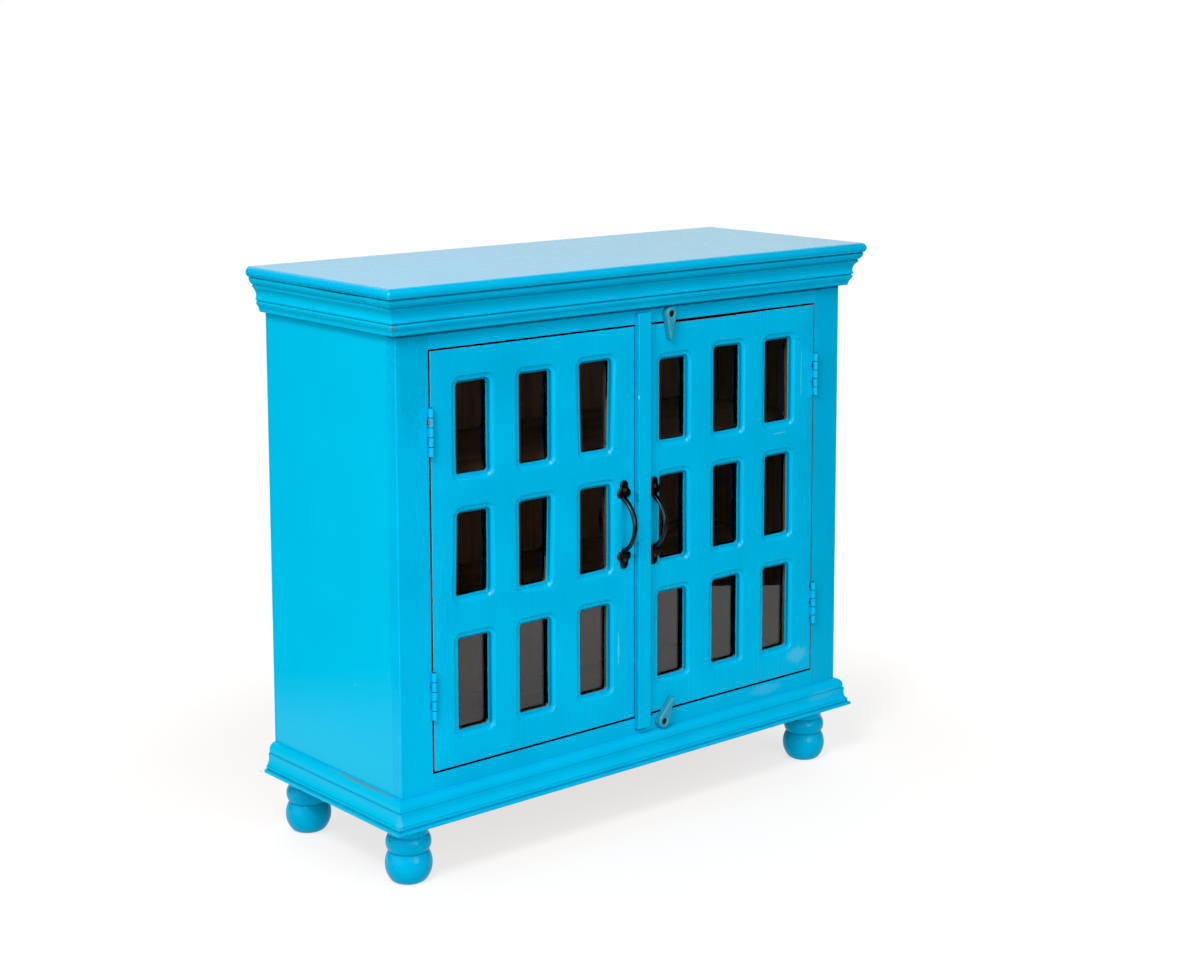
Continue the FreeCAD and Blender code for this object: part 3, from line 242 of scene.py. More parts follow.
class CabinetSizes(bpy.types.PropertyGroup):
    """Sizes of the cabinet's dressed pieces."""
    ring_width: length_property("Ring Width", "Routed ring round each window", 10.9)
    ring_lip: length_property("Ring Lip", "Drop at the outer edge of each ring", 0.6)
    ring_flat: length_property("Ring Flat", "Flat of the ring beside the window", 3.4)
    ring_depth: length_property("Ring Depth", "How far the ring's flat lies below the door's face", 5.6)
    window_corner: length_property("Window Corner", "Radius of each window's corners", 5.0)
    edge_round: length_property("Edge Round", "Radius of the doors' front edges", 1.6)
    handle_width: length_property("Handle Bar Width", "Width of the handles' bow", 8.8)
    handle_depth: length_property("Handle Bar Depth", "Depth of the handles' bow", 6.4)
    handle_reach: length_property("Handle Reach", "How far the bow stands off the door", 31.95)
    button_length: length_property("Turn Button Length", "Length of a turn button", 54.5)
    button_width: length_property("Turn Button Width", "Width of a turn button's round head", 23.2)
    button_depth: length_property("Turn Button Depth", "Depth of a turn button", 11.5)


class CabinetStage(bpy.types.PropertyGroup):
    """The floor, the lights and the camera."""
    floor: colour_property("Floor", "Plain pale floor", "9C9A98")
    floor_glow: colour_property("Floor Glow", "Light of the floor as the camera sees it", "FFFEFE")
    bounce_glow: colour_property("Bounce Glow", "Light of the floor as the pieces see it", "FCFDFF")
    room: colour_property("Room", "Light of the room's walls", "FFFCF8")
    lens: bpy.props.FloatProperty(name="Lens", description="Focal length of the camera", unit="CAMERA",
                                  min=1.0, default=65.38)
    lamp: bpy.props.FloatProperty(name="High Lamp", description="Power of the soft light high on the left",
                                  unit="POWER", min=0.0, default=84.0)
    fill: bpy.props.FloatProperty(name="Fill", description="Power of the large soft light before the doors",
                                  unit="POWER", min=0.0, default=17.0)
    bounce: bpy.props.FloatProperty(name="Bounce", description="Brightness of the floor as the pieces see it",
                                    subtype="FACTOR", min=0.0, max=2.0, default=0.63)
    black: bpy.props.FloatProperty(name="Black Level", description="Light that the picture shows as black",
                                   subtype="FACTOR", min=0.0, max=0.1, default=0.013)


def node(tree, kind, inputs=(), **settings):
    """Add a shader node, set its settings, and fill its inputs with values or links from other nodes."""
    made = tree.nodes.new("ShaderNode" + kind)
    for name, value in settings.items():
        setattr(made, name, value)
    for key, value in dict(inputs).items():
        if isinstance(value, bpy.types.Node):
            value = next(socket for socket in value.outputs if socket.enabled)
        if isinstance(value, bpy.types.NodeSocket):
            tree.links.new(value, made.inputs[key])
        else:
            made.inputs[key].default_value = value
    return made


def blank(name):
    """An empty material, its node tree and the Object coordinates that its patterns read."""
    material = bpy.data.materials.new(name)
    material.use_nodes = True
    tree = material.node_tree
    tree.nodes.clear()
    return material, tree, node(tree, "TexCoord").outputs["Object"]


def shade(tree, **inputs):
    """Close a material with one Principled shader."""
    named = {key.replace("_", " "): value for key, value in inputs.items()}
    shader = node(tree, "BsdfPrincipled", named)
    node(tree, "OutputMaterial", {"Surface": shader})


def solid(colour):
    """A colour as a socket takes it."""
    return (*colour, 1.0)


def stretched(tree, coords, grain, across_mm, along_mm):
    """Coordinates whose unit is across_mm over the grain and along_mm along it."""
    scale = [1.0 / (across_mm * MM)] * 3
    scale[GRAINS[grain]] = 1.0 / (along_mm * MM)
    return node(tree, "Mapping", {"Vector": coords, "Scale": scale})


def spot_mask(tree, coords, centre, radii, breakup):
    """1 inside an ellipsoid and 0 outside it, with its rim broken up by a noise."""
    place = [-c / r for c, r in zip(centre, radii)]
    scale = [1.0 / (r * MM) for r in radii]
    local = node(tree, "Mapping", {"Vector": coords, "Location": place, "Scale": scale})
    away = node(tree, "VectorMath", {0: local}, operation="LENGTH")
    rough = node(tree, "Math", {0: breakup, 1: RIM_BREAKUP, 2: away}, operation="MULTIPLY_ADD")
    return node(tree, "MapRange", {"Value": rough, "From Min": RIM_OUTSIDE, "From Max": RIM_INSIDE},
                interpolation_type="SMOOTHSTEP")


# A radius that takes in a whole piece, in millimetres
WHOLE = 4000
# Marks of use and painted shade on the paint: centre and radii in millimetres, the colour's name and how
# strong it is
# Painted shade: a dark line right under the crown, and a faint darkening below it
UNDER_CROWN = [
    ((0, FRONT, 858.4), (WHOLE, 40, 3.0), "shade_and_grime", 0.9),
    ((0, FRONT, 866), (WHOLE, 60, 50), "shade_and_grime", 0.05),
]
# Painted light: the sides' lighter, greener paint for the warmer light from the left
SIDE_LIGHT_PAINT = [((0, 0, 500), (WHOLE, WHOLE, WHOLE), "side_light_paint", 0.6)]
SPOTS = {
    "door": [
        # Painted shadow down the left door beside the meeting bar
        ((-3.3, FRONT, 504), (1.5, 4, 1500), "shade_and_grime", 0.9),
        # Painted shade: the top of the left door darker under the crown
        ((-300, FRONT, 860), (190, 30, 170), "shade_and_grime", 0.09),
        ((378, FRONT, 209), (30, 12, 17), "scuff", 0.42),
        ((-38, FRONT, 300), (2.2, 6, 34), "scuff", 0.8),
        ((381, FRONT, 708), (2.0, 6, 60), "scuff", 0.5),
        ((330, FRONT, 614), (22, 6, 2.0), "scuff", 0.5),
    # Painted shadow: dark spots in the gaps between the right door's hinge knuckles
    ] + [((409.5, FRONT, height), (3.2, 5, 6.2), "dirt_and_shadow", 1.0) for height in (269, 299, 329, 694, 724)],
    # Painted shadow: dark spots in the gaps between the left stile's hinge knuckles
    "stile": [((-414.5, FRONT, height), (2.6, 5, 6.4), "dirt_and_shadow", 1.0) for height in (284, 314, 694, 724)] + [
        # Painted shade: the right stile darker, and the top of the left stile darker under the crown
        ((442, FRONT, 500), (45, 40, WHOLE), "shade_and_grime", 0.15),
        ((-442, FRONT, 860), (45, 40, 190), "shade_and_grime", 0.17),
    ] + UNDER_CROWN,
    "rail": [
        # Painted shade: the bottom rail a little darker
        ((0, FRONT, 140), (WHOLE, 60, 45), "shade_and_grime", 0.07),
        ((300, FRONT, 162), (44, 10, 12), "scuff", 0.22),
        # Painted shadow below the foot of the meeting bar, and in a small notch left of the lower turn button
        ((11, FRONT, 155), (17, 5, 5), "shade_and_grime", 0.7),
        ((31, FRONT, 169), (1.4, 4, 6), "dirt_and_shadow", 0.9),
        ((35, FRONT, 172.5), (6, 4, 1.2), "dirt_and_shadow", 0.9),
    ] + UNDER_CROWN,
    "bar": [
        ((-2.6, FRONT - 6, 549), (2, 7, 10), "dirt_and_shadow", 0.3),
        ((-2.6, FRONT - 6, 471), (2, 7, 9), "dirt_and_shadow", 0.3),
        ((-2.6, FRONT - 10.5, 716), (1.4, 2.4, 5), "primer_and_highlight", 0.35),
        # Painted shade down the meeting bar's left face
        ((-2.6, FRONT - 5, 504), (2.4, 6.5, WHOLE), "shade_and_grime", 0.25),
    ],
    "hinge": [((-416.5, FRONT - 5, 724), (4.4, 8, 7.4), "worn", 0.8)],
    "base": [
        ((430, -183, 128), (50, 25, 12), "scuff", 0.2),
        ((-488, -185, 120), (10, 16, 16), "scuff", 0.55),
        ((-478, -60, 147), (8, 110, 2.2), "worn", 0.5),
    # Painted shade along the base moulding's steps
    ] + [((0, 0, height), (WHOLE, WHOLE, 1.4), "shade_and_grime", 0.28) for height in (104.8, 110.6, 130.6)],
    "crown": [
        ((-489, -181, 873), (6, 6, 7), "worn", 0.7),
        ((-470, -183, 866), (9, 5, 3), "worn", 0.5),
        ((-497, 77, 892), (4, 5, 4), "worn", 0.5),
        ((-455, -183, 869), (1.8, 12, 1.8), "dirt_and_shadow", 1.0),
        # Painted shadow in the gap under the top's nose
        ((-505, -60, 917.4), (25, 100, 1.4), "dirt_and_shadow", 0.8),
    # Painted shade under the crown's ridges, stronger on its front
    ] + [((0, 0, height), (WHOLE, WHOLE, 1.4), "shade_and_grime", 0.25) for height in (880.2, 904.0, 917.4)]
      + [((0, FRONT - 30, height), (WHOLE, 50, 1.6), "shade_and_grime", 0.5) for height in (861.6, 880.2, 904.0, 917.4)],
    "foot": [
        # Painted shade: the whole foot a little darker
        ((0, 0, 40), (WHOLE, WHOLE, WHOLE), "shade_and_grime", 0.17),
        ((0, 0, 0), (WHOLE, WHOLE, 3.0), "dirt_and_shadow", 0.7),
    # Painted shade in the foot's grooves
    ] + [((0, 0, height), (WHOLE, WHOLE, 1.6), "shade_and_grime", 0.35) for height in (49.5, 76.0)],
    "side": SIDE_LIGHT_PAINT + [
        ((-473, -43, 300), (4, 2.0, 2.2), "scuff", 1.0),
        # Painted shade under the crown
        ((0, 0, 858.6), (WHOLE, WHOLE, 2.4), "shade_and_grime", 0.4),
    ],
}

# Where the brush did not reach: the lowest and highest corners of a box in millimetres, with None for a side
# that is open, and the wood that shows there
OPEN = (None, None, None)
ZONES = {
    "side": [((-456, None, None), (456, None, None), "stain")],
    "back": [((-471, None, None), (471, None, None), "stain")],
    "stile": [((-440, FRONT + 1.5, None), (440, None, None), "bare")],
    "rail": [((None, FRONT + 1.5, None), OPEN, "reveal")],
    "door": [
        ((None, FRONT + 8.5, None), OPEN, "reveal"),
        ((-64, FRONT + 9.5, None), (-45, None, 716), "edge"),
        ((345, FRONT + 9.5, None), (372, None, None), "edge"),
        ((-190, FRONT + 9.5, 430), (-175, None, 478), "edge"),
        ((None, FRONT + 9.5, None), (None, None, 236), "edge"),
        ((None, FRONT + 12.6, None), OPEN, "stain"),
        ((None, FRONT + 1.0, None), (None, None, 183), "worn_wood"),
        ((None, FRONT + 1.0, 825), OPEN, "reveal"),
        ((None, FRONT + 1.0, 825), (-335, FRONT + 7.0, None), "worn_wood"),
        ((3, FRONT + 1.0, 825), (None, FRONT + 9.0, None), "worn_wood"),
        ((405, FRONT + 1.0, None), OPEN, "worn_wood"),
        ((None, FRONT + 1.0, None), (-405, None, None), "worn_wood"),
        # Painted shade: deep in the gaps the doors' hinge edges are dark
        ((405, FRONT + 3.8, None), OPEN, "reveal"),
        ((None, FRONT + 3.8, None), (-405, None, None), "reveal"),
    ],
}
# How far the line where the brush stopped wanders, in millimetres
WANDER = 2.4


def zone_mask(tree, place, lows, highs):
    """1 inside a box and 0 outside it; place holds the coordinates with the wander added."""
    mask = None
    for axis, low, high in zip("XYZ", lows, highs):
        for limit, operation in ((low, "GREATER_THAN"), (high, "LESS_THAN")):
            if limit is not None:
                test = node(tree, "Math", {0: place.outputs[axis], 1: (limit + WANDER / 2) * MM},
                            operation=operation)
                mask = node(tree, "Math", {0: mask, 1: test}, operation="MULTIPLY") if mask else test
    return mask


def add_spots(tree, coords, colours, colour, breakup, spots):
    """Lay marks of use and painted shade over a colour."""
    for centre, radii, kind, strength in spots:
        mask = spot_mask(tree, coords, centre, radii, breakup)
        part = node(tree, "Math", {0: mask, 1: strength}, operation="MULTIPLY")
        colour = node(tree, "Mix", {0: part, 6: colour, 7: solid(getattr(colours, kind))}, data_type="RGBA")
    return colour


def painted_wood(name, colours, grain, spots=(), zones=(), gloss=0.27, shine=0.22, brush=0.2, with_shade_and_grime=False):
    """Satin enamel brushed by hand on sawn hardwood.

    It gives the eye an even cyan with faint brush streaks along the grain, slow mottling, a soft gloss, and a
    few rubbed places, with painted shade and shadow where the marks lay it. Inside the zones the wood shows,
    and deep in the doors' gaps it is painted shade; where a piece keeps a shade and grime value on its
    points, painted shade and grime darken the paint, and below zero a painted highlight lightens it.
    """
    material, tree, coords = blank(name)
    # Brush streaks are about 5 mm apart and 180 mm long; the mottling is a hand's breadth.
    streaks = node(tree, "TexNoise", {"Vector": stretched(tree, coords, grain, 5, 180), "Scale": 1.0,
                                      "Detail": 3.0, "Roughness": 0.6})
    mottle = node(tree, "TexNoise", {"Vector": coords, "Scale": 1.0 / (90 * MM), "Detail": 2.0})
    tone = node(tree, "Math", {0: streaks, 1: 0.4, 2: mottle}, operation="MULTIPLY_ADD")
    share = node(tree, "MapRange", {"Value": tone, "From Min": 0.38, "From Max": 1.03})
    colour = node(tree, "Mix", {0: share, 6: solid(colours.paint_deep), 7: solid(colours.paint)},
                  data_type="RGBA")
    # Painted shade and grime from the points' value, and below zero a painted highlight in the pale colour
    if with_shade_and_grime:
        shade_and_grime = node(tree, "Attribute", attribute_name="shade_and_grime").outputs["Fac"]
        colour = node(tree, "Mix", {0: shade_and_grime, 6: colour, 7: solid(colours.shade_and_grime)}, data_type="RGBA")
        highlights = node(tree, "Math", {0: shade_and_grime, 1: -HIGHLIGHT_STRENGTH}, operation="MULTIPLY", use_clamp=True)
        colour = node(tree, "Mix", {0: highlights, 6: colour, 7: solid(colours.primer_and_highlight)}, data_type="RGBA")
    breakup = node(tree, "TexNoise", {"Vector": coords, "Scale": 1.0 / (6 * MM), "Detail": 4.0})
    colour = add_spots(tree, coords, colours, colour, breakup, spots)
    if zones:
        wandered = node(tree, "VectorMath", {0: breakup.outputs["Color"], 1: (WANDER * MM,) * 3, 2: coords},
                        operation="MULTIPLY_ADD")
        place = node(tree, "SeparateXYZ", {0: wandered})
        # Grain lines of the wood below are about 5 mm apart and 150 mm long.
        lines = node(tree, "TexNoise", {"Vector": stretched(tree, coords, grain, 5, 150), "Scale": 1.0,
                                        "Detail": 4.0, "Roughness": 0.6})
        for lows, highs, under in zones:
            wood = node(tree, "Mix", {0: lines, 6: solid(getattr(colours, under + "_dark")),
                                      7: solid(getattr(colours, under))}, data_type="RGBA")
            mask = zone_mask(tree, place, lows, highs)
            colour = node(tree, "Mix", {0: mask, 6: colour, 7: wood}, data_type="RGBA")
    roughness = node(tree, "MapRange", {"Value": streaks, "From Min": 0.1, "From Max": 0.9,
                                        "To Min": gloss - 0.015, "To Max": gloss + 0.015})
    soft = node(tree, "Bevel", {"Radius": 0.5 * MM}, samples=6)
    bump = node(tree, "Bump", {"Height": streaks, "Distance": 0.06 * MM, "Strength": brush, "Normal": soft})
    shade(tree, Base_Color=colour, Roughness=roughness, Normal=bump, Specular_IOR_Level=shine, IOR=1.45)
    return material


def stained_wood(name, colours, grain):
    """Hardwood wiped with a dark brown stain.

    It gives the eye long wavering grain lines, lighter and darker boards and a dull sheen.
    """
    material, tree, coords = blank(name)
    # Grain lines are about 7 mm apart and run for a quarter of a metre; figure is a hand's breadth wide.
    lines = node(tree, "TexNoise", {"Vector": stretched(tree, coords, grain, 7, 250), "Scale": 1.0,
                                    "Detail": 5.0, "Roughness": 0.65, "Distortion": 0.6})
    figure = node(tree, "TexNoise", {"Vector": stretched(tree, coords, grain, 60, 400), "Scale": 1.0,
                                     "Detail": 2.0})
    tone = node(tree, "Math", {0: figure, 1: 0.7, 2: lines}, operation="MULTIPLY_ADD")
    share = node(tree, "MapRange", {"Value": tone, "From Min": 0.6, "From Max": 1.05})
    colour = node(tree, "Mix", {0: share, 6: solid(colours.stain_dark), 7: solid(colours.stain)},
                  data_type="RGBA")
    roughness = node(tree, "MapRange", {"Value": lines, "To Min": 0.42, "To Max": 0.62})
    bump = node(tree, "Bump", {"Height": lines, "Distance": 0.25 * MM, "Strength": 0.7})
    shade(tree, Base_Color=colour, Roughness=roughness, Normal=bump, IOR=1.45)
    return material


def bare_wood(name, colours, grain):
    """Planed hardwood with no finish.

    It gives the eye pale tan wood with fine darker grain and no gloss.
    """
    material, tree, coords = blank(name)
    # Grain lines are about 4 mm apart and 150 mm long.
    lines = node(tree, "TexNoise", {"Vector": stretched(tree, coords, grain, 4, 150), "Scale": 1.0,
                                    "Detail": 4.0, "Roughness": 0.6})
    colour = node(tree, "Mix", {0: lines, 6: solid(colours.bare_dark), 7: solid(colours.bare)},
                  data_type="RGBA")
    roughness = node(tree, "MapRange", {"Value": lines, "To Min": 0.55, "To Max": 0.75})
    bump = node(tree, "Bump", {"Height": lines, "Distance": 0.2 * MM, "Strength": 0.6})
    shade(tree, Base_Color=colour, Roughness=roughness, Normal=bump, IOR=1.45)
    return material


def window_glass(name, colours):
    """Drawn sheet glass.

    It gives the eye a clear pane with sharp, slightly wavering reflections and a little dust.
    """
    material, tree, coords = blank(name)
    # The sheet wavers over about 80 mm, and dust lies in specks of about 1.5 mm.
    waves = node(tree, "TexNoise", {"Vector": coords, "Scale": 1.0 / (80 * MM), "Detail": 1.0})
    dust = node(tree, "TexNoise", {"Vector": coords, "Scale": 1.0 / (1.5 * MM), "Detail": 2.0})
    roughness = node(tree, "MapRange", {"Value": dust, "From Min": 0.5, "From Max": 0.8,
                                        "To Min": 0.0, "To Max": 0.05})
    bump = node(tree, "Bump", {"Height": waves, "Distance": 0.15 * MM, "Strength": 0.4})
    shade(tree, Base_Color=solid(colours.glass), Roughness=roughness, Normal=bump, IOR=1.5,
          Transmission_Weight=1.0)
    return material


def cast_iron(name, colours):
    """Sand-cast iron under black lacquer.

    It gives the eye a nearly black, softly pitted surface that shines grey where hands rub it.
    """
    material, tree, coords = blank(name)
    # The sand's grit is about 1.2 mm; rubbed patches are about 12 mm.
    grit = node(tree, "TexNoise", {"Vector": coords, "Scale": 1.0 / (1.2 * MM), "Detail": 3.0})
    rubbed = node(tree, "TexNoise", {"Vector": coords, "Scale": 1.0 / (12 * MM), "Detail": 3.0})
    share = node(tree, "MapRange", {"Value": rubbed, "From Min": 0.55, "From Max": 0.85})
    colour = node(tree, "Mix", {0: share, 6: solid(colours.iron), 7: solid(colours.iron_worn)},
                  data_type="RGBA")
    roughness = node(tree, "MapRange", {"Value": rubbed, "To Min": 0.38, "To Max": 0.24})
    bump = node(tree, "Bump", {"Height": grit, "Distance": 0.15 * MM, "Strength": 0.5})
    shade(tree, Base_Color=colour, Roughness=roughness, Normal=bump, IOR=1.5)
    return material


def worn_enamel(name, colours, base, rubbed_colour, rubbed_from, arris=0.6, spots=()):
    """Brush-painted metal, rubbed through along its edges.

    It gives the eye a dull coat that thins to a paler grey on the arrises and in patches.
    """
    material, tree, coords = blank(name)
    # Patches are about 9 mm across, with specks of 1 mm in them.
    patches = node(tree, "TexNoise", {"Vector": coords, "Scale": 1.0 / (9 * MM), "Detail": 5.0,
                                      "Roughness": 0.6})
    soft = node(tree, "Bevel", {"Radius": arris * MM}, samples=6)
    plain = node(tree, "NewGeometry").outputs["Normal"]
    match = node(tree, "VectorMath", {0: soft, 1: plain}, operation="DOT_PRODUCT")
    edge = node(tree, "MapRange", {"Value": match, "From Min": 0.995, "From Max": 0.9})
    amount = node(tree, "Math", {0: edge, 1: 0.35, 2: patches}, operation="MULTIPLY_ADD")
    share = node(tree, "MapRange", {"Value": amount, "From Min": rubbed_from, "From Max": rubbed_from + 0.25})
    colour = node(tree, "Mix", {0: share, 6: solid(base), 7: solid(rubbed_colour)}, data_type="RGBA")
    colour = add_spots(tree, coords, colours, colour, patches, spots)
    roughness = node(tree, "MapRange", {"Value": patches, "To Min": 0.5, "To Max": 0.34})
    bump = node(tree, "Bump", {"Height": patches, "Distance": 0.2 * MM, "Strength": 0.5, "Normal": soft})
    shade(tree, Base_Color=colour, Roughness=roughness, Normal=bump, Specular_IOR_Level=0.3, IOR=1.5)
    return material


def plain_steel(name, colours):
    """Zinc-plated steel gone dull, with a bloom of rust.

    It gives the eye dark grey metal with brown patches.
    """
    material, tree, coords = blank(name)
    # Rust blooms are about 4 mm across.
    bloom = node(tree, "TexNoise", {"Vector": coords, "Scale": 1.0 / (4 * MM), "Detail": 4.0})
    share = node(tree, "MapRange", {"Value": bloom, "From Min": 0.45, "From Max": 0.7})
    colour = node(tree, "Mix", {0: share, 6: solid(colours.steel), 7: solid(colours.rust)}, data_type="RGBA")
    metal = node(tree, "MapRange", {"Value": share, "To Min": 1.0, "To Max": 0.2})
    roughness = node(tree, "MapRange", {"Value": bloom, "To Min": 0.3, "To Max": 0.7})
    bump = node(tree, "Bump", {"Height": bloom, "Distance": 0.1 * MM, "Strength": 0.4})
    shade(tree, Base_Color=colour, Metallic=metal, Roughness=roughness, Normal=bump)
    return material


def coat(material, *names):
    """Give CAD nodes a material."""
    for name in names:
        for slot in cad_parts[name].material_slots:
            slot.material = material


def grid_quads(rows, columns):
    """Corners of the quads of a grid of rows by columns of points."""
    corner = (np.arange(rows - 1)[:, None] * columns + np.arange(columns - 1)).reshape(-1, 1)
    return corner + np.array([0, 1, columns + 1, columns])


def build_piece(name, patches, material, body, replaced, sharp=30.0):
    """Weld grids of points, in millimetres, into one closed mesh that stands for a CAD node.

    Points nearer than a thousandth of a millimetre become one, and quads that lose a corner become
    triangles. A fourth value at each point is its painted shade and grime, and below zero its painted
    highlight.
    """
    counts = np.cumsum([0] + [patch.shape[0] * patch.shape[1] for patch in patches])
    points = np.concatenate([patch.reshape(-1, patch.shape[2]) for patch in patches])
    quads = np.concatenate([grid_quads(*patch.shape[:2]) + start for patch, start in zip(patches, counts)])
    _, first, joined = np.unique(np.round(points[:, :3] / MM).astype(np.int64), axis=0, return_index=True,
                                 return_inverse=True)
    quads = joined.reshape(-1)[quads]
    lost = quads == np.roll(quads, -1, axis=1)
    whole = quads[lost.sum(1) == 0]
    thirds = lost.sum(1) == 1
    triangles = quads[thirds][~lost[thirds]].reshape(-1, 3)
    mesh = bpy.data.meshes.new(name)
    mesh.from_pydata((points[first, :3] * MM).tolist(), [], whole.tolist() + triangles.tolist())
    shell = bmesh.new()
    shell.from_mesh(mesh)
    bmesh.ops.recalc_face_normals(shell, faces=shell.faces)
    open_edges = sum(1 for edge in shell.edges if len(edge.link_faces) != 2)
    shell.to_mesh(mesh)
    shell.free()
    if open_edges:
        raise RuntimeError(f"{name} has {open_edges} open edges")
    if points.shape[1] > 3:
        mesh.attributes.new("shade_and_grime", "FLOAT", "POINT").data.foreach_set("value", points[first, 3])
    mesh.polygons.foreach_set("use_smooth", np.ones(len(mesh.polygons), bool))
    mesh.set_sharp_from_angle(angle=math.radians(sharp))
    mesh.materials.append(material)
    piece = bpy.data.objects.new(name, mesh)
    bpy.context.scene.collection.objects.link(piece)
    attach(piece, body)
    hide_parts(replaced)
    return piece


def ring_section(sizes):
    """Section of the routed ring as distance out from the window's edge and depth below the face.

    From outside in: the face rolls over a small arris and drops by the lip, a hollow arc sinks to the
    step, and a flat leads to the window's edge, which runs back to the glass.
    """
    width, lip, flat, floor = (value / MM for value in (sizes.ring_width, sizes.ring_lip, sizes.ring_flat,
                                                        sizes.ring_depth))
    start, end = np.array([width, lip]), np.array([flat, floor - RING_STEP])
    chord = end - start
    normal = np.array([chord[1], -chord[0]]) / np.hypot(*chord)
    share = np.linspace(0.0, 1.0, HOLLOW_STEPS + 1)[:, None]
    sag = RING_SAG * 4.0 * share * (1.0 - share)
    hollow = start + chord * share + normal * sag
    outer = np.array(FACE_ARRIS) + (width, 0.0)
    step = np.array(STEP_ARRIS) + (flat, floor)
    inner = np.array(WINDOW_ARRIS) + (0.0, floor)
    return np.concatenate([outer, hollow, step, inner, [(0.0, GLASS_DEPTH)]])


def window_loops(window, distances, corner, phase):
    """Closed loops round a window, one for each distance outside its edge, as points across and up.

    Each loop is a rectangle with round corners, run counter-clockwise from its lower left corner. Its
    sides lean with the window's own edges, and a slow sine wave round the loop gives the hand-cut waver.
    """
    left_top, left_low, right_top, right_low, top, bottom = window
    left, right = (left_top + left_low) / 2, (right_top + right_low) / 2
    centres = np.array([(left + corner, bottom + corner), (right - corner, bottom + corner),
                        (right - corner, top - corner), (left + corner, top - corner)])
    angles = np.radians(180.0 + 90.0 * np.arange(4)[:, None] + np.linspace(0.0, 90.0, CORNER_STEPS + 1))
    turn = np.stack([np.cos(angles), np.sin(angles)], axis=-1)
    reach = corner + np.asarray(distances)[:, None, None, None]
    arcs = centres[:, None] + reach * turn
    ends, starts = arcs[:, :, -1:], np.roll(arcs[:, :, :1], -1, axis=1)
    share = np.linspace(0.0, 1.0, RUN_STEPS + 1)[1:-1, None]
    loops = np.concatenate([arcs, ends + (starts - ends) * share], axis=2)
    loops = np.roll(loops.reshape(len(distances), -1, 2), -CORNER_STEPS // 2, axis=1)
    across = (loops[..., 0] - left) / (right - left)
    up = (loops[..., 1] - bottom) / (top - bottom)
    lean_left, lean_right = left_top - left_low, right_top - right_low
    lean = ((1 - across) * lean_left + across * lean_right) * (up - 0.5)
    round_way = np.linspace(0.0, 2.0 * np.pi, loops.shape[1], endpoint=False)
    waver = sum(height * np.sin(count * round_way + part * phase) for height, count, part in WAVES)
    outward = np.stack([np.where(across > 0.5, 1.0, -1.0), np.where(up > 0.5, 1.0, -1.0)], axis=-1)
    shift = np.stack([lean, np.zeros_like(lean)], axis=-1) + outward * waver[:, None] * WAVER_SHARE
    return loops + shift


def ring_shade_and_grime(window, loops, depths):
    """Painted shade and grime on a window's ring, most at the step along the top and the right.

    A value below zero is a painted highlight, a pale dot at the lower right corner.
    """
    _, _, right_top, right_low, top, bottom = window
    across, up = loops[..., 0], loops[..., 1]
    past_edges = (across - (right_top + right_low) / 2, up - top, bottom - up)
    right, above, below = (np.clip((past + SHADE_AND_GRIME_INSIDE) / SHADE_AND_GRIME_RUN, 0.0, 1.0) for past in past_edges)
    weight = np.maximum.reduce([right, above, SHADE_AND_GRIME_BELOW * below])
    highlight_away = np.hypot(across - right_low - HIGHLIGHT_RIGHT, up - bottom + HIGHLIGHT_BELOW)
    return weight * depths[:, None] - (bottom > HIGHLIGHT_FROM) * np.exp(-(highlight_away / HIGHLIGHT_RADIUS) ** 2)


def close(loop):
    """Repeat the first point of closed loops at their end."""
    return np.concatenate([loop, loop[..., :1, :]], axis=-2)


def at_depth(loop, depth, *more):
    """Points across and up, laid at a depth below the front face, as X, Y and Z and any value more."""
    rest = [np.broadcast_to(value, loop.shape[:-1]) for value in (depth, *more)]
    return np.stack([loop[..., 0], FRONT + rest[0], loop[..., 1], *rest[1:]], axis=-1)


def cell_runs(low, high, lines):
    """Places along one side of a door: an equal run of steps across each of its three cells."""
    marks = [low, *lines, high]
    runs = [np.linspace(a, b, SIDE_STEPS + 1) for a, b in zip(marks, marks[1:])]
    return np.concatenate([run[:-1] for run in runs] + [[high]])


def hinge_runs(low, high):
    """Heights along a door's hinge edge and where its mortises are, with each mortise's ends doubled."""
    marks = [low, *ROW_LINES, high]
    heights, sunk = [], []
    between = SIDE_STEPS + 1 - 2 * MORTISE_ENDS
    for row in range(CELLS):
        start, end = marks[row], marks[row + 1]
        if row in MORTISES:
            lower, upper = MORTISES[row]
            run = np.concatenate([np.linspace(start, lower, MORTISE_ENDS), np.linspace(lower, upper, between),
                                  np.linspace(upper, end, MORTISE_ENDS)])
            inside = np.r_[np.zeros(MORTISE_ENDS), np.ones(between), np.zeros(MORTISE_ENDS)]
        else:
            run, inside = np.linspace(start, end, SIDE_STEPS + 1), np.zeros(SIDE_STEPS + 1)
        heights.append(run[:-1])
        sunk.append(inside[:-1])
    return np.concatenate(heights + [[high]]), np.concatenate(sunk + [[0.0]]).astype(bool)


def level_run(across, height):
    """Points along a level line."""
    return np.stack([across, np.full_like(across, height)], axis=-1)


def plumb_run(place, heights):
    """Points up an edge that is upright, or that steps where place has a value for each height."""
    return np.stack([np.broadcast_to(place, heights.shape), heights], axis=-1)


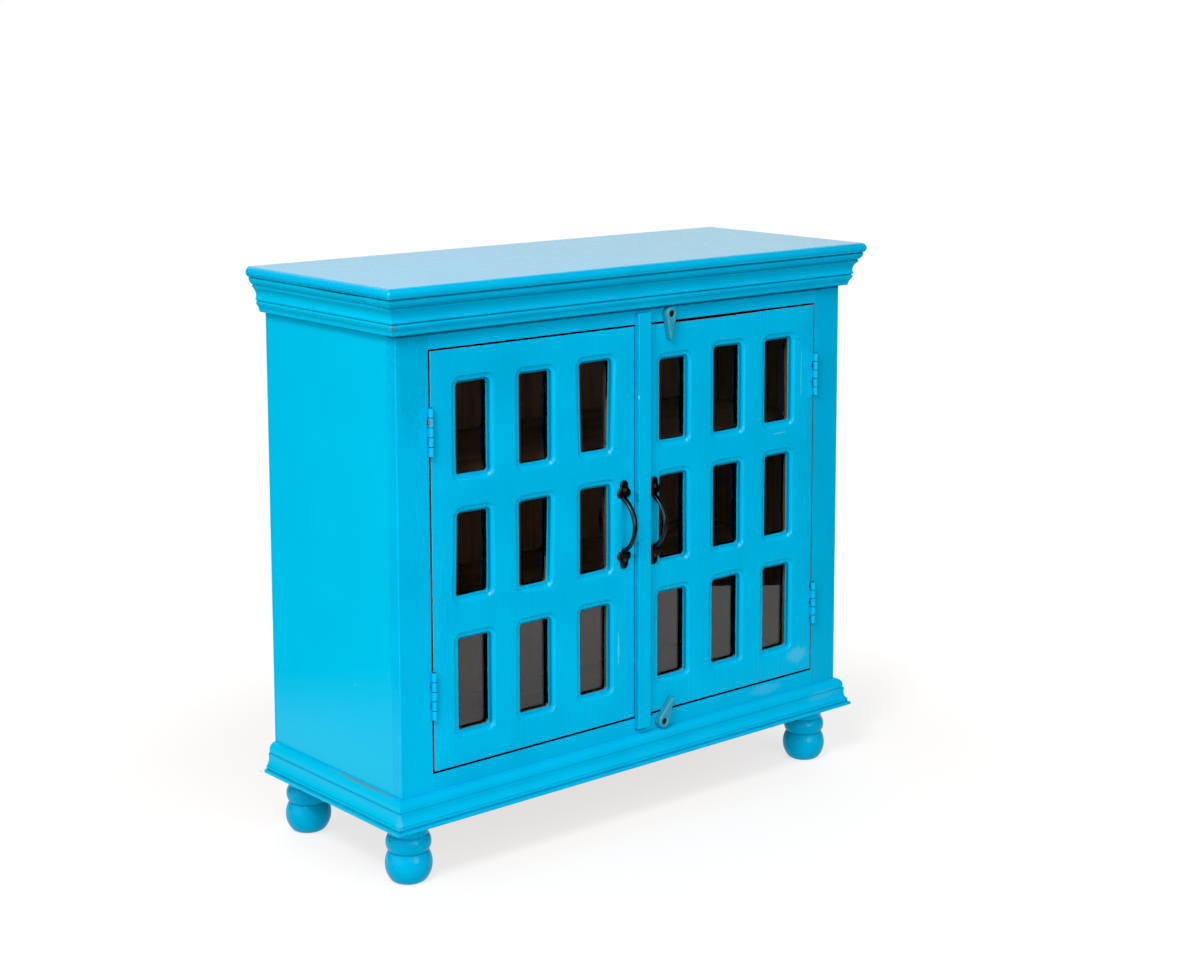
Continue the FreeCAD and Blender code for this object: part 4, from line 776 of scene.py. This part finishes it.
def door_edge(side, inset, notched):
    """The door's outline at a distance inside its edges, as its bottom, right, top and left runs.

    Where notched is true the hinge edge steps in by a leaf's thickness at each mortise.
    """
    low, high = DOOR_SPANS[side]
    across = np.clip(cell_runs(low, high, COLUMN_LINES[side]), low + inset, high - inset)
    plain = np.clip(cell_runs(DOOR_BOTTOM, DOOR_TOP, ROW_LINES), DOOR_BOTTOM + inset, DOOR_TOP - inset)
    hung, sunk = hinge_runs(DOOR_BOTTOM, DOOR_TOP)
    hung = np.clip(hung, DOOR_BOTTOM + inset, DOOR_TOP - inset)
    sink = np.where(sunk & notched, MORTISE_FLOOR, np.inf)
    left, right = plumb_run(low + inset, plain), plumb_run(high - inset, plain)
    if side == "left":
        left = plumb_run(np.maximum(low + inset, -sink), hung)
    else:
        right = plumb_run(np.minimum(high - inset, sink), hung)
    return [level_run(across, DOOR_BOTTOM + inset), right, level_run(across, DOOR_TOP - inset), left]


def whole_loop(runs):
    """One closed loop from the bottom, right, top and left runs of an outline."""
    bottom, right, top, left = runs
    return np.concatenate([bottom[:-1], right[:-1], top[::-1][:-1], left[::-1]])


def cell_loop(runs, lines_across, lines_up, column, row):
    """The loop of one cell: parts of the outline where it meets it, and straight lines inside."""
    bottom, right, top, left = runs
    last = CELLS - 1
    span = slice(column * SIDE_STEPS, (column + 1) * SIDE_STEPS + 1)
    rise = slice(row * SIDE_STEPS, (row + 1) * SIDE_STEPS + 1)
    x_low = left[0, 0] if column == 0 else lines_across[column - 1]
    x_high = right[0, 0] if column == last else lines_across[column]
    z_low = bottom[0, 1] if row == 0 else lines_up[row - 1]
    z_high = top[0, 1] if row == last else lines_up[row]
    level, plumb = np.linspace(x_low, x_high, SIDE_STEPS + 1), np.linspace(z_low, z_high, SIDE_STEPS + 1)
    sides = [
        bottom[span] if row == 0 else level_run(level, z_low),
        right[rise] if column == last else plumb_run(x_high, plumb),
        (top[span] if row == last else level_run(level, z_high))[::-1],
        (left[rise] if column == 0 else plumb_run(x_low, plumb))[::-1],
    ]
    return np.concatenate([part[:-1] for part in sides])


def door_patches(side, sizes):
    """Grids of one door: nine window cells before and behind, the rolled edge and the glass rebate.

    A cell's front is a stack of loops from its straight outline in through the routed ring to the glass.
    Its back runs out from the window to the rebate. The door's edge is the outline carried round a
    quarter arc and straight back, stepping in where a hinge leaf lies.
    """
    round_radius, corner = sizes.edge_round / MM, sizes.window_corner / MM
    section = ring_section(sizes)
    section_shade_and_grime = np.zeros(len(section))
    section_shade_and_grime[list(RING_SHADE_AND_GRIME)] = list(RING_SHADE_AND_GRIME.values())
    face = door_edge(side, round_radius, True)
    low, high = REBATES[side]
    bottom, top = REBATE_HEIGHTS
    across = cell_runs(low, high, COLUMN_LINES[side])
    up = cell_runs(bottom, top, ROW_LINES)
    seat = [level_run(across, bottom), plumb_run(high, up), level_run(across, top), plumb_run(low, up)]
    patches = []
    for row, windows in enumerate(WINDOWS[side]):
        for column, window in enumerate(windows):
            phase = PHASE_UP * row + PHASE_ACROSS * column + PHASE_STARTS[side]
            loops = window_loops(window, section[:, 0], corner, phase)
            outline = cell_loop(face, COLUMN_LINES[side], ROW_LINES, column, row)
            shade_and_grime = ring_shade_and_grime(window, loops, section_shade_and_grime)
            ring = at_depth(loops, section[:, 1:2], shade_and_grime)
            patches.append(close(np.concatenate([at_depth(outline, 0.0, 0.0)[None], ring])))
            behind = cell_loop(seat, COLUMN_LINES[side], ROW_LINES, column, row)
            patches.append(close(at_depth(np.stack([loops[-1], behind]), GLASS_DEPTH, 0.0)))
    angles = np.linspace(0.0, np.pi / 2, EDGE_STEPS + 1)
    rolled = [(round_radius * (1 - math.sin(a)), round_radius * (1 - math.cos(a)), True) for a in angles]
    straight = [(0.0, MORTISE_REACH, True), (0.0, MORTISE_REACH, False), (0.0, DOOR_THICKNESS, False)]
    edge = [at_depth(whole_loop(door_edge(side, inset, notched)), depth, 0.0)
            for inset, depth, notched in rolled + straight]
    rebate = [at_depth(whole_loop(seat), depth, 0.0) for depth in (DOOR_THICKNESS, GLASS_DEPTH)]
    patches.append(np.stack(edge + rebate))
    return patches


def plane_top_edge(patches):
    """Plane the right door's top edge down, most a third of the way along from the meeting bar."""
    for patch in patches:
        weight = np.clip((patch[..., 2] - PLANED_FROM) / (DOOR_TOP - PLANED_FROM), 0.0, 1.0)
        patch[..., 2] -= weight * np.interp(patch[..., 0], PLANED_PLACES, PLANED_DEPTHS)
    return patches


def trefoil(angles, point):
    """Distance from a handle plate's screw to its rim in each direction.

    The rim is the furthest of five circles: a neck round the screw, a lobe past it, and three towards the
    bow's root. point is 1 for the plate above and -1 for the plate below.
    """
    lobes = np.array(PLATE_LOBES)
    ray = np.stack([np.cos(angles), np.sin(angles)], axis=-1)
    centres = lobes[:, :2] * (1, point)
    along = ray @ centres.T
    inside = lobes[:, 2] ** 2 - (centres ** 2).sum(1) + along ** 2
    reach = np.where(inside > 0, along + np.sqrt(np.maximum(inside, 0.0)), 0.0)
    return reach.max(axis=1)


def loops_round(x, z, angles, reach, heights):
    """Loops round an axis square to the door: each reaches out by its direction, at a height off the door."""
    height = np.broadcast_to(np.array(heights)[:, None], reach.shape)
    return np.stack([x + reach * np.cos(angles), FRONT - height, z + reach * np.sin(angles)], axis=-1)


def handle_plate(x, z, point):
    """A lobed plate: its rim carried inward over a rounded edge to a low crown, and flat behind."""
    angles = np.linspace(0.0, 2.0 * np.pi, PLATE_STEPS + 1)
    reach = np.array(PLATE_SHARES)[:, None] * trefoil(angles, point)
    return loops_round(x, z, angles, reach, PLATE_HEIGHTS)


def handle_screw(x, z):
    """A screw turned about its own axis: a dished head with a rim, and a shank that runs into the door."""
    angles = np.linspace(0.0, 2.0 * np.pi, ROUND_STEPS + 1)
    reach = np.repeat(np.array(SCREW_RADII)[:, None], len(angles), axis=1)
    return loops_round(x, z, angles, reach, SCREW_HEIGHTS)


def handle_bow(x, middle, sizes):
    """An oval bar carried along an arc that springs from between the lobes of the plates.

    The arc is part of a circle in the upright plane; the oval swells towards both roots, and its ends
    shrink to points inside the plates.
    """
    reach = sizes.handle_reach / MM - sizes.handle_depth / MM / 2
    radius = (BOW_HALF ** 2 + reach ** 2) / (2 * reach)
    spread = math.asin(BOW_HALF / radius)
    way = np.linspace(-1.0, 1.0, BOW_STEPS + 1)[:, None]
    turn = np.linspace(0.0, 2.0 * np.pi, ROUND_STEPS + 1)[None, :]
    bend = way * spread
    swell = 1.0 + BOW_SWELL * np.abs(way) ** SWELL_POWER
    swell[[0, -1]] = 0.0
    wide = sizes.handle_width / MM / 2 * swell * np.cos(turn)
    thick = sizes.handle_depth / MM / 2 * swell * np.sin(turn)
    out = (radius + thick) * np.cos(bend) - (radius - reach)
    rise = (radius + thick) * np.sin(bend)
    return np.stack([np.broadcast_to(x + wide, out.shape), FRONT - out, middle + rise], axis=-1)


def button_patches(level, sizes):
    """A teardrop turn button, as loops carried from its back over its bevel into its screw hole.

    The rim is the hull of a large circle round the screw and a small one at the tip, read by its
    direction from the screw; each loop lies between that rim and a circle round the screw.
    """
    x, z, turn = TURN_BUTTONS[level]
    head = sizes.button_width / MM / 2
    reach = sizes.button_length / MM - head - BUTTON_TIP
    lean = math.asin((head - BUTTON_TIP) / reach)
    head_arc = np.linspace(-lean, np.pi + lean, HEAD_STEPS + 1)
    tip_arc = np.linspace(np.pi + lean, 2 * np.pi - lean, TIP_STEPS + 1)
    head_points = head * np.stack([np.cos(head_arc), np.sin(head_arc)], axis=-1)
    tip_points = BUTTON_TIP * np.stack([np.cos(tip_arc), np.sin(tip_arc)], axis=-1) - (0.0, reach)
    share = np.linspace(0.0, 1.0, FLANK_STEPS + 1)[1:-1, None]
    rim = np.concatenate([head_points, head_points[-1] + (tip_points[0] - head_points[-1]) * share,
                          tip_points, tip_points[-1] + (head_points[0] - tip_points[-1]) * share])
    tangent = np.roll(rim, -1, axis=0) - np.roll(rim, 1, axis=0)
    inward = np.stack([-tangent[:, 1], tangent[:, 0]], axis=-1)
    inward /= np.linalg.norm(inward, axis=1, keepdims=True)
    round_screw = rim / np.linalg.norm(rim, axis=1, keepdims=True)
    depth = sizes.button_depth / MM
    loops = [(round_screw * BUTTON_HOLE, 0.0), (rim + inward * BUTTON_CHAMFER, 0.0), (rim, BUTTON_CHAMFER),
             (rim, depth - BUTTON_SHOULDER)]
    loops += [(rim + inward * inset, depth - drop) for inset, drop in BUTTON_BEVEL]
    loops += [(round_screw * radius, depth - drop) for radius, drop in (*BUTTON_SEAT, (BUTTON_HOLE, depth))]
    angle = math.radians(turn)
    spin = np.array([(math.cos(angle), math.sin(angle)), (-math.sin(angle), math.cos(angle))])
    stack = np.stack([at_depth(loop @ spin + (x, z), -BUTTON_GAP - height) for loop, height in loops])
    return [close(stack)]


class CabinetOperator:
    """What every operator of this cabinet shares."""
    bl_options = {"REGISTER"}

    @property
    def colours(self):
        return bpy.context.scene.cabinet_colours

    @property
    def sizes(self):
        return bpy.context.scene.cabinet_sizes


class CABINET_OT_case(CabinetOperator, bpy.types.Operator):
    """Paint the sides, the face frame and the meeting bar"""
    bl_idname = "cabinet.case"
    bl_label = "Case"

    def execute(self, context):
        upright = painted_wood("satin_paint_on_sides", self.colours, "upright", SPOTS["side"], ZONES["side"],
                               gloss=0.3, brush=0.08)
        coat(upright, "left_side_panel", "right_side_panel")
        stiles = painted_wood("satin_paint_on_stiles", self.colours, "upright", SPOTS["stile"],
                              ZONES["stile"])
        coat(stiles, "left_front_stile", "right_front_stile")
        coat(painted_wood("satin_paint_on_meeting_bar", self.colours, "upright", SPOTS["bar"]), "astragal")
        rails = painted_wood("satin_paint_on_rails", self.colours, "across", SPOTS["rail"], ZONES["rail"])
        coat(rails, "top_front_rail", "bottom_front_rail")
        return {"FINISHED"}


class CABINET_OT_mouldings(CabinetOperator, bpy.types.Operator):
    """Paint the top board and the crown and base mouldings"""
    bl_idname = "cabinet.mouldings"
    bl_label = "Top and Mouldings"

    def execute(self, context):
        coat(painted_wood("satin_paint_on_top", self.colours, "across", shine=0.35, brush=0.08), "top_board")
        for part in ("crown", "base"):
            front = painted_wood(f"satin_paint_on_{part}_front", self.colours, "across", SPOTS[part],
                                 gloss=0.42)
            sides = painted_wood(f"satin_paint_on_{part}_sides", self.colours, "deep", SIDE_LIGHT_PAINT + SPOTS[part],
                                 gloss=0.42)
            coat(front, f"{part}_moulding_front")
            coat(sides, f"{part}_moulding_left", f"{part}_moulding_right")
        return {"FINISHED"}


class CABINET_OT_feet(CabinetOperator, bpy.types.Operator):
    """Paint the turned feet"""
    bl_idname = "cabinet.feet"
    bl_label = "Turned Feet"

    def execute(self, context):
        paint = painted_wood("satin_paint_on_feet", self.colours, "across", SPOTS["foot"], gloss=0.12,
                             shine=0.17)
        coat(paint, *[f"{end}_{side}_foot" for end in ("front", "rear") for side in ("left", "right")])
        return {"FINISHED"}


class CABINET_OT_inside(CabinetOperator, bpy.types.Operator):
    """Stain the boards inside the case and behind it"""
    bl_idname = "cabinet.inside"
    bl_label = "Inside of the Case"

    def execute(self, context):
        shelves = stained_wood("stained_shelf_wood", self.colours, "across")
        coat(shelves, "floor_panel", "rear_top_rail", "lower_shelf", "upper_shelf")
        coat(painted_wood("stained_back_wood_with_painted_ends", self.colours, "upright", (), ZONES["back"],
                          gloss=0.5), "back_panel")
        cleats = [f"{level}_shelf_cleat_{side}" for level in ("lower", "upper") for side in ("left", "right")]
        coat(stained_wood("stained_cleat_wood", self.colours, "deep"), *cleats)
        blocks = [f"{end}_{side}_corner_block" for end in ("front", "rear") for side in ("left", "right")]
        coat(bare_wood("bare_block_wood", self.colours, "across"), *blocks)
        return {"FINISHED"}


class CABINET_OT_doors(CabinetOperator, bpy.types.Operator):
    """Shape and paint the two doors with their hand-cut windows"""
    bl_idname = "cabinet.doors"
    bl_label = "Doors"

    def execute(self, context):
        paint = painted_wood("satin_paint_on_doors", self.colours, "upright", SPOTS["door"], ZONES["door"],
                             with_shade_and_grime=True)
        for side in ("left", "right"):
            patches = door_patches(side, self.sizes)
            if side == "right":
                patches = plane_top_edge(patches)
            build_piece(f"dressed_{side}_door", patches, paint, f"{side}_door", f"{side}_door_panel")
        return {"FINISHED"}


class CABINET_OT_glazing(CabinetOperator, bpy.types.Operator):
    """Glaze the doors and bead the glass"""
    bl_idname = "cabinet.glazing"
    bl_label = "Glazing"

    def execute(self, context):
        coat(window_glass("drawn_sheet_glass", self.colours), "left_door_glass", "right_door_glass")
        for side in ("left", "right"):
            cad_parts[f"{side}_door_glass"].visible_shadow = False
        beads = stained_wood("stained_bead_wood", self.colours, "upright")
        coat(beads, "left_glazing_beads", "right_glazing_beads")
        return {"FINISHED"}


class CABINET_OT_hinges(CabinetOperator, bpy.types.Operator):
    """Paint the butt hinges and finish their pins and screws"""
    bl_idname = "cabinet.hinges"
    bl_label = "Hinges"

    def execute(self, context):
        painted = worn_enamel("painted_hinge_iron", self.colours, self.colours.paint_deep,
                              self.colours.worn, 0.85, spots=SPOTS["hinge"])
        leaves = [f"{side}_{level}_hinge_{leaf}_leaf" for side in ("left", "right")
                  for level in ("upper", "lower") for leaf in ("frame", "door")]
        coat(painted, *leaves)
        coat(plain_steel("dull_steel", self.colours), "hinge_pins", "frame_hinge_screws",
             "left_door_hinge_screws", "right_door_hinge_screws", "back_panel_nails", "foot_bolts")
        return {"FINISHED"}


class CABINET_OT_handles(CabinetOperator, bpy.types.Operator):
    """Cast the bow handles and their lobed plates"""
    bl_idname = "cabinet.handles"
    bl_label = "Handles"

    def execute(self, context):
        iron = cast_iron("lacquered_cast_iron", self.colours)
        steel = plain_steel("dull_handle_screw_steel", self.colours)
        for side, (x, middle) in HANDLES.items():
            ends = [(middle + HANDLE_SCREWS * point, point) for point in (-1, 1)]
            cast = [handle_plate(x, z, point) for z, point in ends] + [handle_bow(x, middle, self.sizes)]
            build_piece(f"dressed_{side}_handle", cast, iron, f"{side}_door", f"{side}_handle",
                        sharp=50.0)
            build_piece(f"dressed_{side}_handle_screws", [handle_screw(x, z) for z, _ in ends], steel,
                        f"{side}_door", f"{side}_handle_screws", sharp=50.0)
        return {"FINISHED"}


class CABINET_OT_turn_buttons(CabinetOperator, bpy.types.Operator):
    """Shape the teardrop turn buttons that hold the doors shut"""
    bl_idname = "cabinet.turn_buttons"
    bl_label = "Turn Buttons"

    def execute(self, context):
        enamel = worn_enamel("rubbed_button_enamel", self.colours, self.colours.button,
                             self.colours.button_worn, 0.6, 1.2)
        for level in TURN_BUTTONS:
            build_piece(f"dressed_{level}_turn_button", button_patches(level, self.sizes), enamel,
                        f"{level}_latch", f"{level}_latch", sharp=35.0)
        coat(cast_iron("dark_button_screw_steel", self.colours), "latch_screws")
        return {"FINISHED"}


class CABINET_OT_stage(CabinetOperator, bpy.types.Operator):
    """Set out the floor, the soft lights and the camera"""
    bl_idname = "cabinet.stage"
    bl_label = "Stage"

    def execute(self, context):
        scene, stage = context.scene, context.scene.cabinet_stage
        scene.view_settings.view_transform = "Standard"
        self.add_floor(scene, stage)
        self.add_world(scene, stage)
        scene.view_settings.use_curve_mapping = True
        scene.view_settings.curve_mapping.black_level = (stage.black,) * 3
        self.add_lamps(scene, stage)
        self.add_camera(scene, stage)
        return {"FINISHED"}

    def add_lamps(self, scene, stage):
        """Two soft round lights, each turned so that it faces the same point on the cabinet."""
        for name, power in (("high_lamp", stage.lamp), ("fill_light", stage.fill)):
            place, size = LAMPS[name]
            data = bpy.data.lights.new(name, "AREA")
            data.shape, data.size, data.energy = "DISK", size, power
            light = bpy.data.objects.new(name, data)
            scene.collection.objects.link(light)
            light.location = place
            way = np.array(LAMP_AIM) - np.array(place)
            flat = math.hypot(way[0], way[1])
            light.rotation_euler = (math.atan2(flat, -way[2]), 0.0, math.atan2(-way[0], way[1]))

    def add_camera(self, scene, stage):
        """The view from the front left, a little above the top."""
        data = bpy.data.cameras.new("camera")
        data.lens, data.sensor_width = stage.lens, SENSOR_WIDTH
        data.shift_x, data.shift_y = CAMERA_SHIFT
        camera = bpy.data.objects.new("camera", data)
        scene.collection.objects.link(camera)
        camera.location = CAMERA_PLACE
        camera.rotation_euler = [math.radians(angle) for angle in CAMERA_TURN]
        scene.camera = camera

    def add_floor(self, scene, stage):
        """White paper that glows a little for the camera, and a sheet below it that lights the pieces."""
        material, tree, coords = blank("white_paper_floor")
        mottle = node(tree, "TexNoise", {"Vector": coords, "Scale": 1.0 / (400 * MM), "Detail": 2.0})
        pale = np.array(stage.floor)
        colour = node(tree, "Mix", {0: mottle, 6: solid(pale), 7: solid(pale * FLOOR_MOTTLE)},
                      data_type="RGBA")
        away = node(tree, "VectorMath", {0: coords}, operation="LENGTH")
        glow = node(tree, "MapRange", {"Value": away, "From Min": GLOW_PLACES[0], "From Max": GLOW_PLACES[1],
                                       "To Min": GLOW_STRENGTHS[0], "To Max": GLOW_STRENGTHS[1]},
                    interpolation_type="SMOOTHSTEP")
        shade(tree, Base_Color=colour, Roughness=0.9, Specular_IOR_Level=0.1,
              Emission_Color=solid(stage.floor_glow), Emission_Strength=glow)
        floor = self.add_sheet(scene, "floor", FLOOR_LEVEL, material)
        floor.visible_diffuse = floor.visible_glossy = False
        # The pieces see a dimmer sheet than the camera does, brighter on the left.
        material, tree, coords = blank("dim_paper_bounce")
        across = node(tree, "SeparateXYZ", {0: coords}).outputs["X"]
        glow = node(tree, "MapRange", {"Value": across, "From Min": BOUNCE_PLACES[0],
                                       "From Max": BOUNCE_PLACES[1], "To Min": BOUNCE_LEFT * stage.bounce,
                                       "To Max": stage.bounce})
        shade(tree, Base_Color=solid((0.0, 0.0, 0.0)), Roughness=1.0, Specular_IOR_Level=0.0,
              Emission_Color=solid(stage.bounce_glow), Emission_Strength=glow)
        self.add_sheet(scene, "floor_bounce", BOUNCE_LEVEL, material, CORNER_CUT).visible_camera = False

    def add_sheet(self, scene, name, height, material, cut=0.0):
        """A flat grid of straight runs from a left edge to a right one, which leans in towards the front.

        The left edge leans in towards the rear, by cut metres in all.
        """
        deep, share = np.meshgrid(np.linspace(FLOOR_FRONT, FLOOR_REAR, FLOOR_ROWS),
                                  np.linspace(0.0, 1.0, FLOOR_COLUMNS), indexing="ij")
        right = np.interp(deep, FLOOR_PLACES, FLOOR_RIGHT)
        left = np.interp(deep, (CORNER_FROM, FLOOR_REAR), (FLOOR_LEFT, FLOOR_LEFT + cut))
        across = right * share + left * (1.0 - share)
        points = np.stack([across, deep, np.full_like(across, height)], axis=-1).reshape(-1, 3)
        mesh = bpy.data.meshes.new(name)
        mesh.from_pydata(points.tolist(), [], grid_quads(FLOOR_ROWS, FLOOR_COLUMNS).tolist())
        mesh.materials.append(material)
        sheet = bpy.data.objects.new(name, mesh)
        scene.collection.objects.link(sheet)
        return sheet

    def add_world(self, scene, stage):
        """White behind everything, and for light and reflections a dim room with pale walls."""
        world = bpy.data.worlds.new("studio")
        world.use_nodes = True
        tree = world.node_tree
        tree.nodes.clear()
        way = node(tree, "TexCoord").outputs["Generated"]
        total = ROOM_DIM
        for toward, start, end, strength in ROOM_WALLS:
            facing = node(tree, "VectorMath", {0: way, 1: toward}, operation="DOT_PRODUCT")
            wall = node(tree, "MapRange", {"Value": facing, "From Min": start, "From Max": end,
                                           "To Min": 0.0, "To Max": strength})
            total = node(tree, "Math", {0: wall, 1: total}, operation="ADD")
        room = node(tree, "Background", {"Color": solid(stage.room), "Strength": total})
        white = node(tree, "Background", {"Color": solid((1.0, 1.0, 1.0)), "Strength": 1.0})
        # White shows past the cabinet and straight through its glass, and light that was turned back sees
        # the room.
        path = node(tree, "LightPath").outputs
        turned = node(tree, "Math", {0: path["Diffuse Depth"], 1: path["Glossy Depth"]}, operation="ADD")
        straight = node(tree, "Math", {0: 1.0, 1: turned}, operation="SUBTRACT", use_clamp=True)
        through = node(tree, "Math", {0: path["Is Transmission Ray"], 1: straight}, operation="MULTIPLY")
        seen = node(tree, "Math", {0: path["Is Camera Ray"], 1: through}, operation="MAXIMUM")
        mixed = node(tree, "MixShader", {0: seen, 1: room, 2: white})
        node(tree, "OutputWorld", {"Surface": mixed})
        scene.world = world


GROUPS = {"cabinet_colours": CabinetColours, "cabinet_sizes": CabinetSizes, "cabinet_stage": CabinetStage}
STEPS = (CABINET_OT_case, CABINET_OT_mouldings, CABINET_OT_feet, CABINET_OT_inside, CABINET_OT_doors,
         CABINET_OT_glazing, CABINET_OT_hinges, CABINET_OT_handles, CABINET_OT_turn_buttons, CABINET_OT_stage)


class CABINET_PT_panel(bpy.types.Panel):
    """Lists the cabinet's colours, sizes and steps"""
    bl_idname = "CABINET_PT_panel"
    bl_label = "Painted Cabinet"
    bl_space_type = "VIEW_3D"
    bl_region_type = "UI"
    bl_category = "Cabinet"

    def draw(self, context):
        for group in (getattr(context.scene, name) for name in GROUPS):
            column = self.layout.column(align=True)
            for name in group.bl_rna.properties.keys():
                if name not in ("rna_type", "name"):
                    column.prop(group, name)
        for step in STEPS:
            self.layout.operator(step.bl_idname)


def register():
    for name, group in GROUPS.items():
        bpy.utils.register_class(group)
        setattr(bpy.types.Scene, name, bpy.props.PointerProperty(type=group))
    for cls in (*STEPS, CABINET_PT_panel):
        bpy.utils.register_class(cls)


def unregister():
    for cls in (CABINET_PT_panel, *reversed(STEPS)):
        bpy.utils.unregister_class(cls)
    for name, group in GROUPS.items():
        delattr(bpy.types.Scene, name)
        bpy.utils.unregister_class(group)


def main():
    register()
    bpy.ops.cabinet.case()
    bpy.ops.cabinet.mouldings()
    bpy.ops.cabinet.feet()
    bpy.ops.cabinet.inside()
    bpy.ops.cabinet.doors()
    bpy.ops.cabinet.glazing()
    bpy.ops.cabinet.hinges()
    bpy.ops.cabinet.handles()
    bpy.ops.cabinet.turn_buttons()
    bpy.ops.cabinet.stage()


if __name__ == "__main__":
    main()
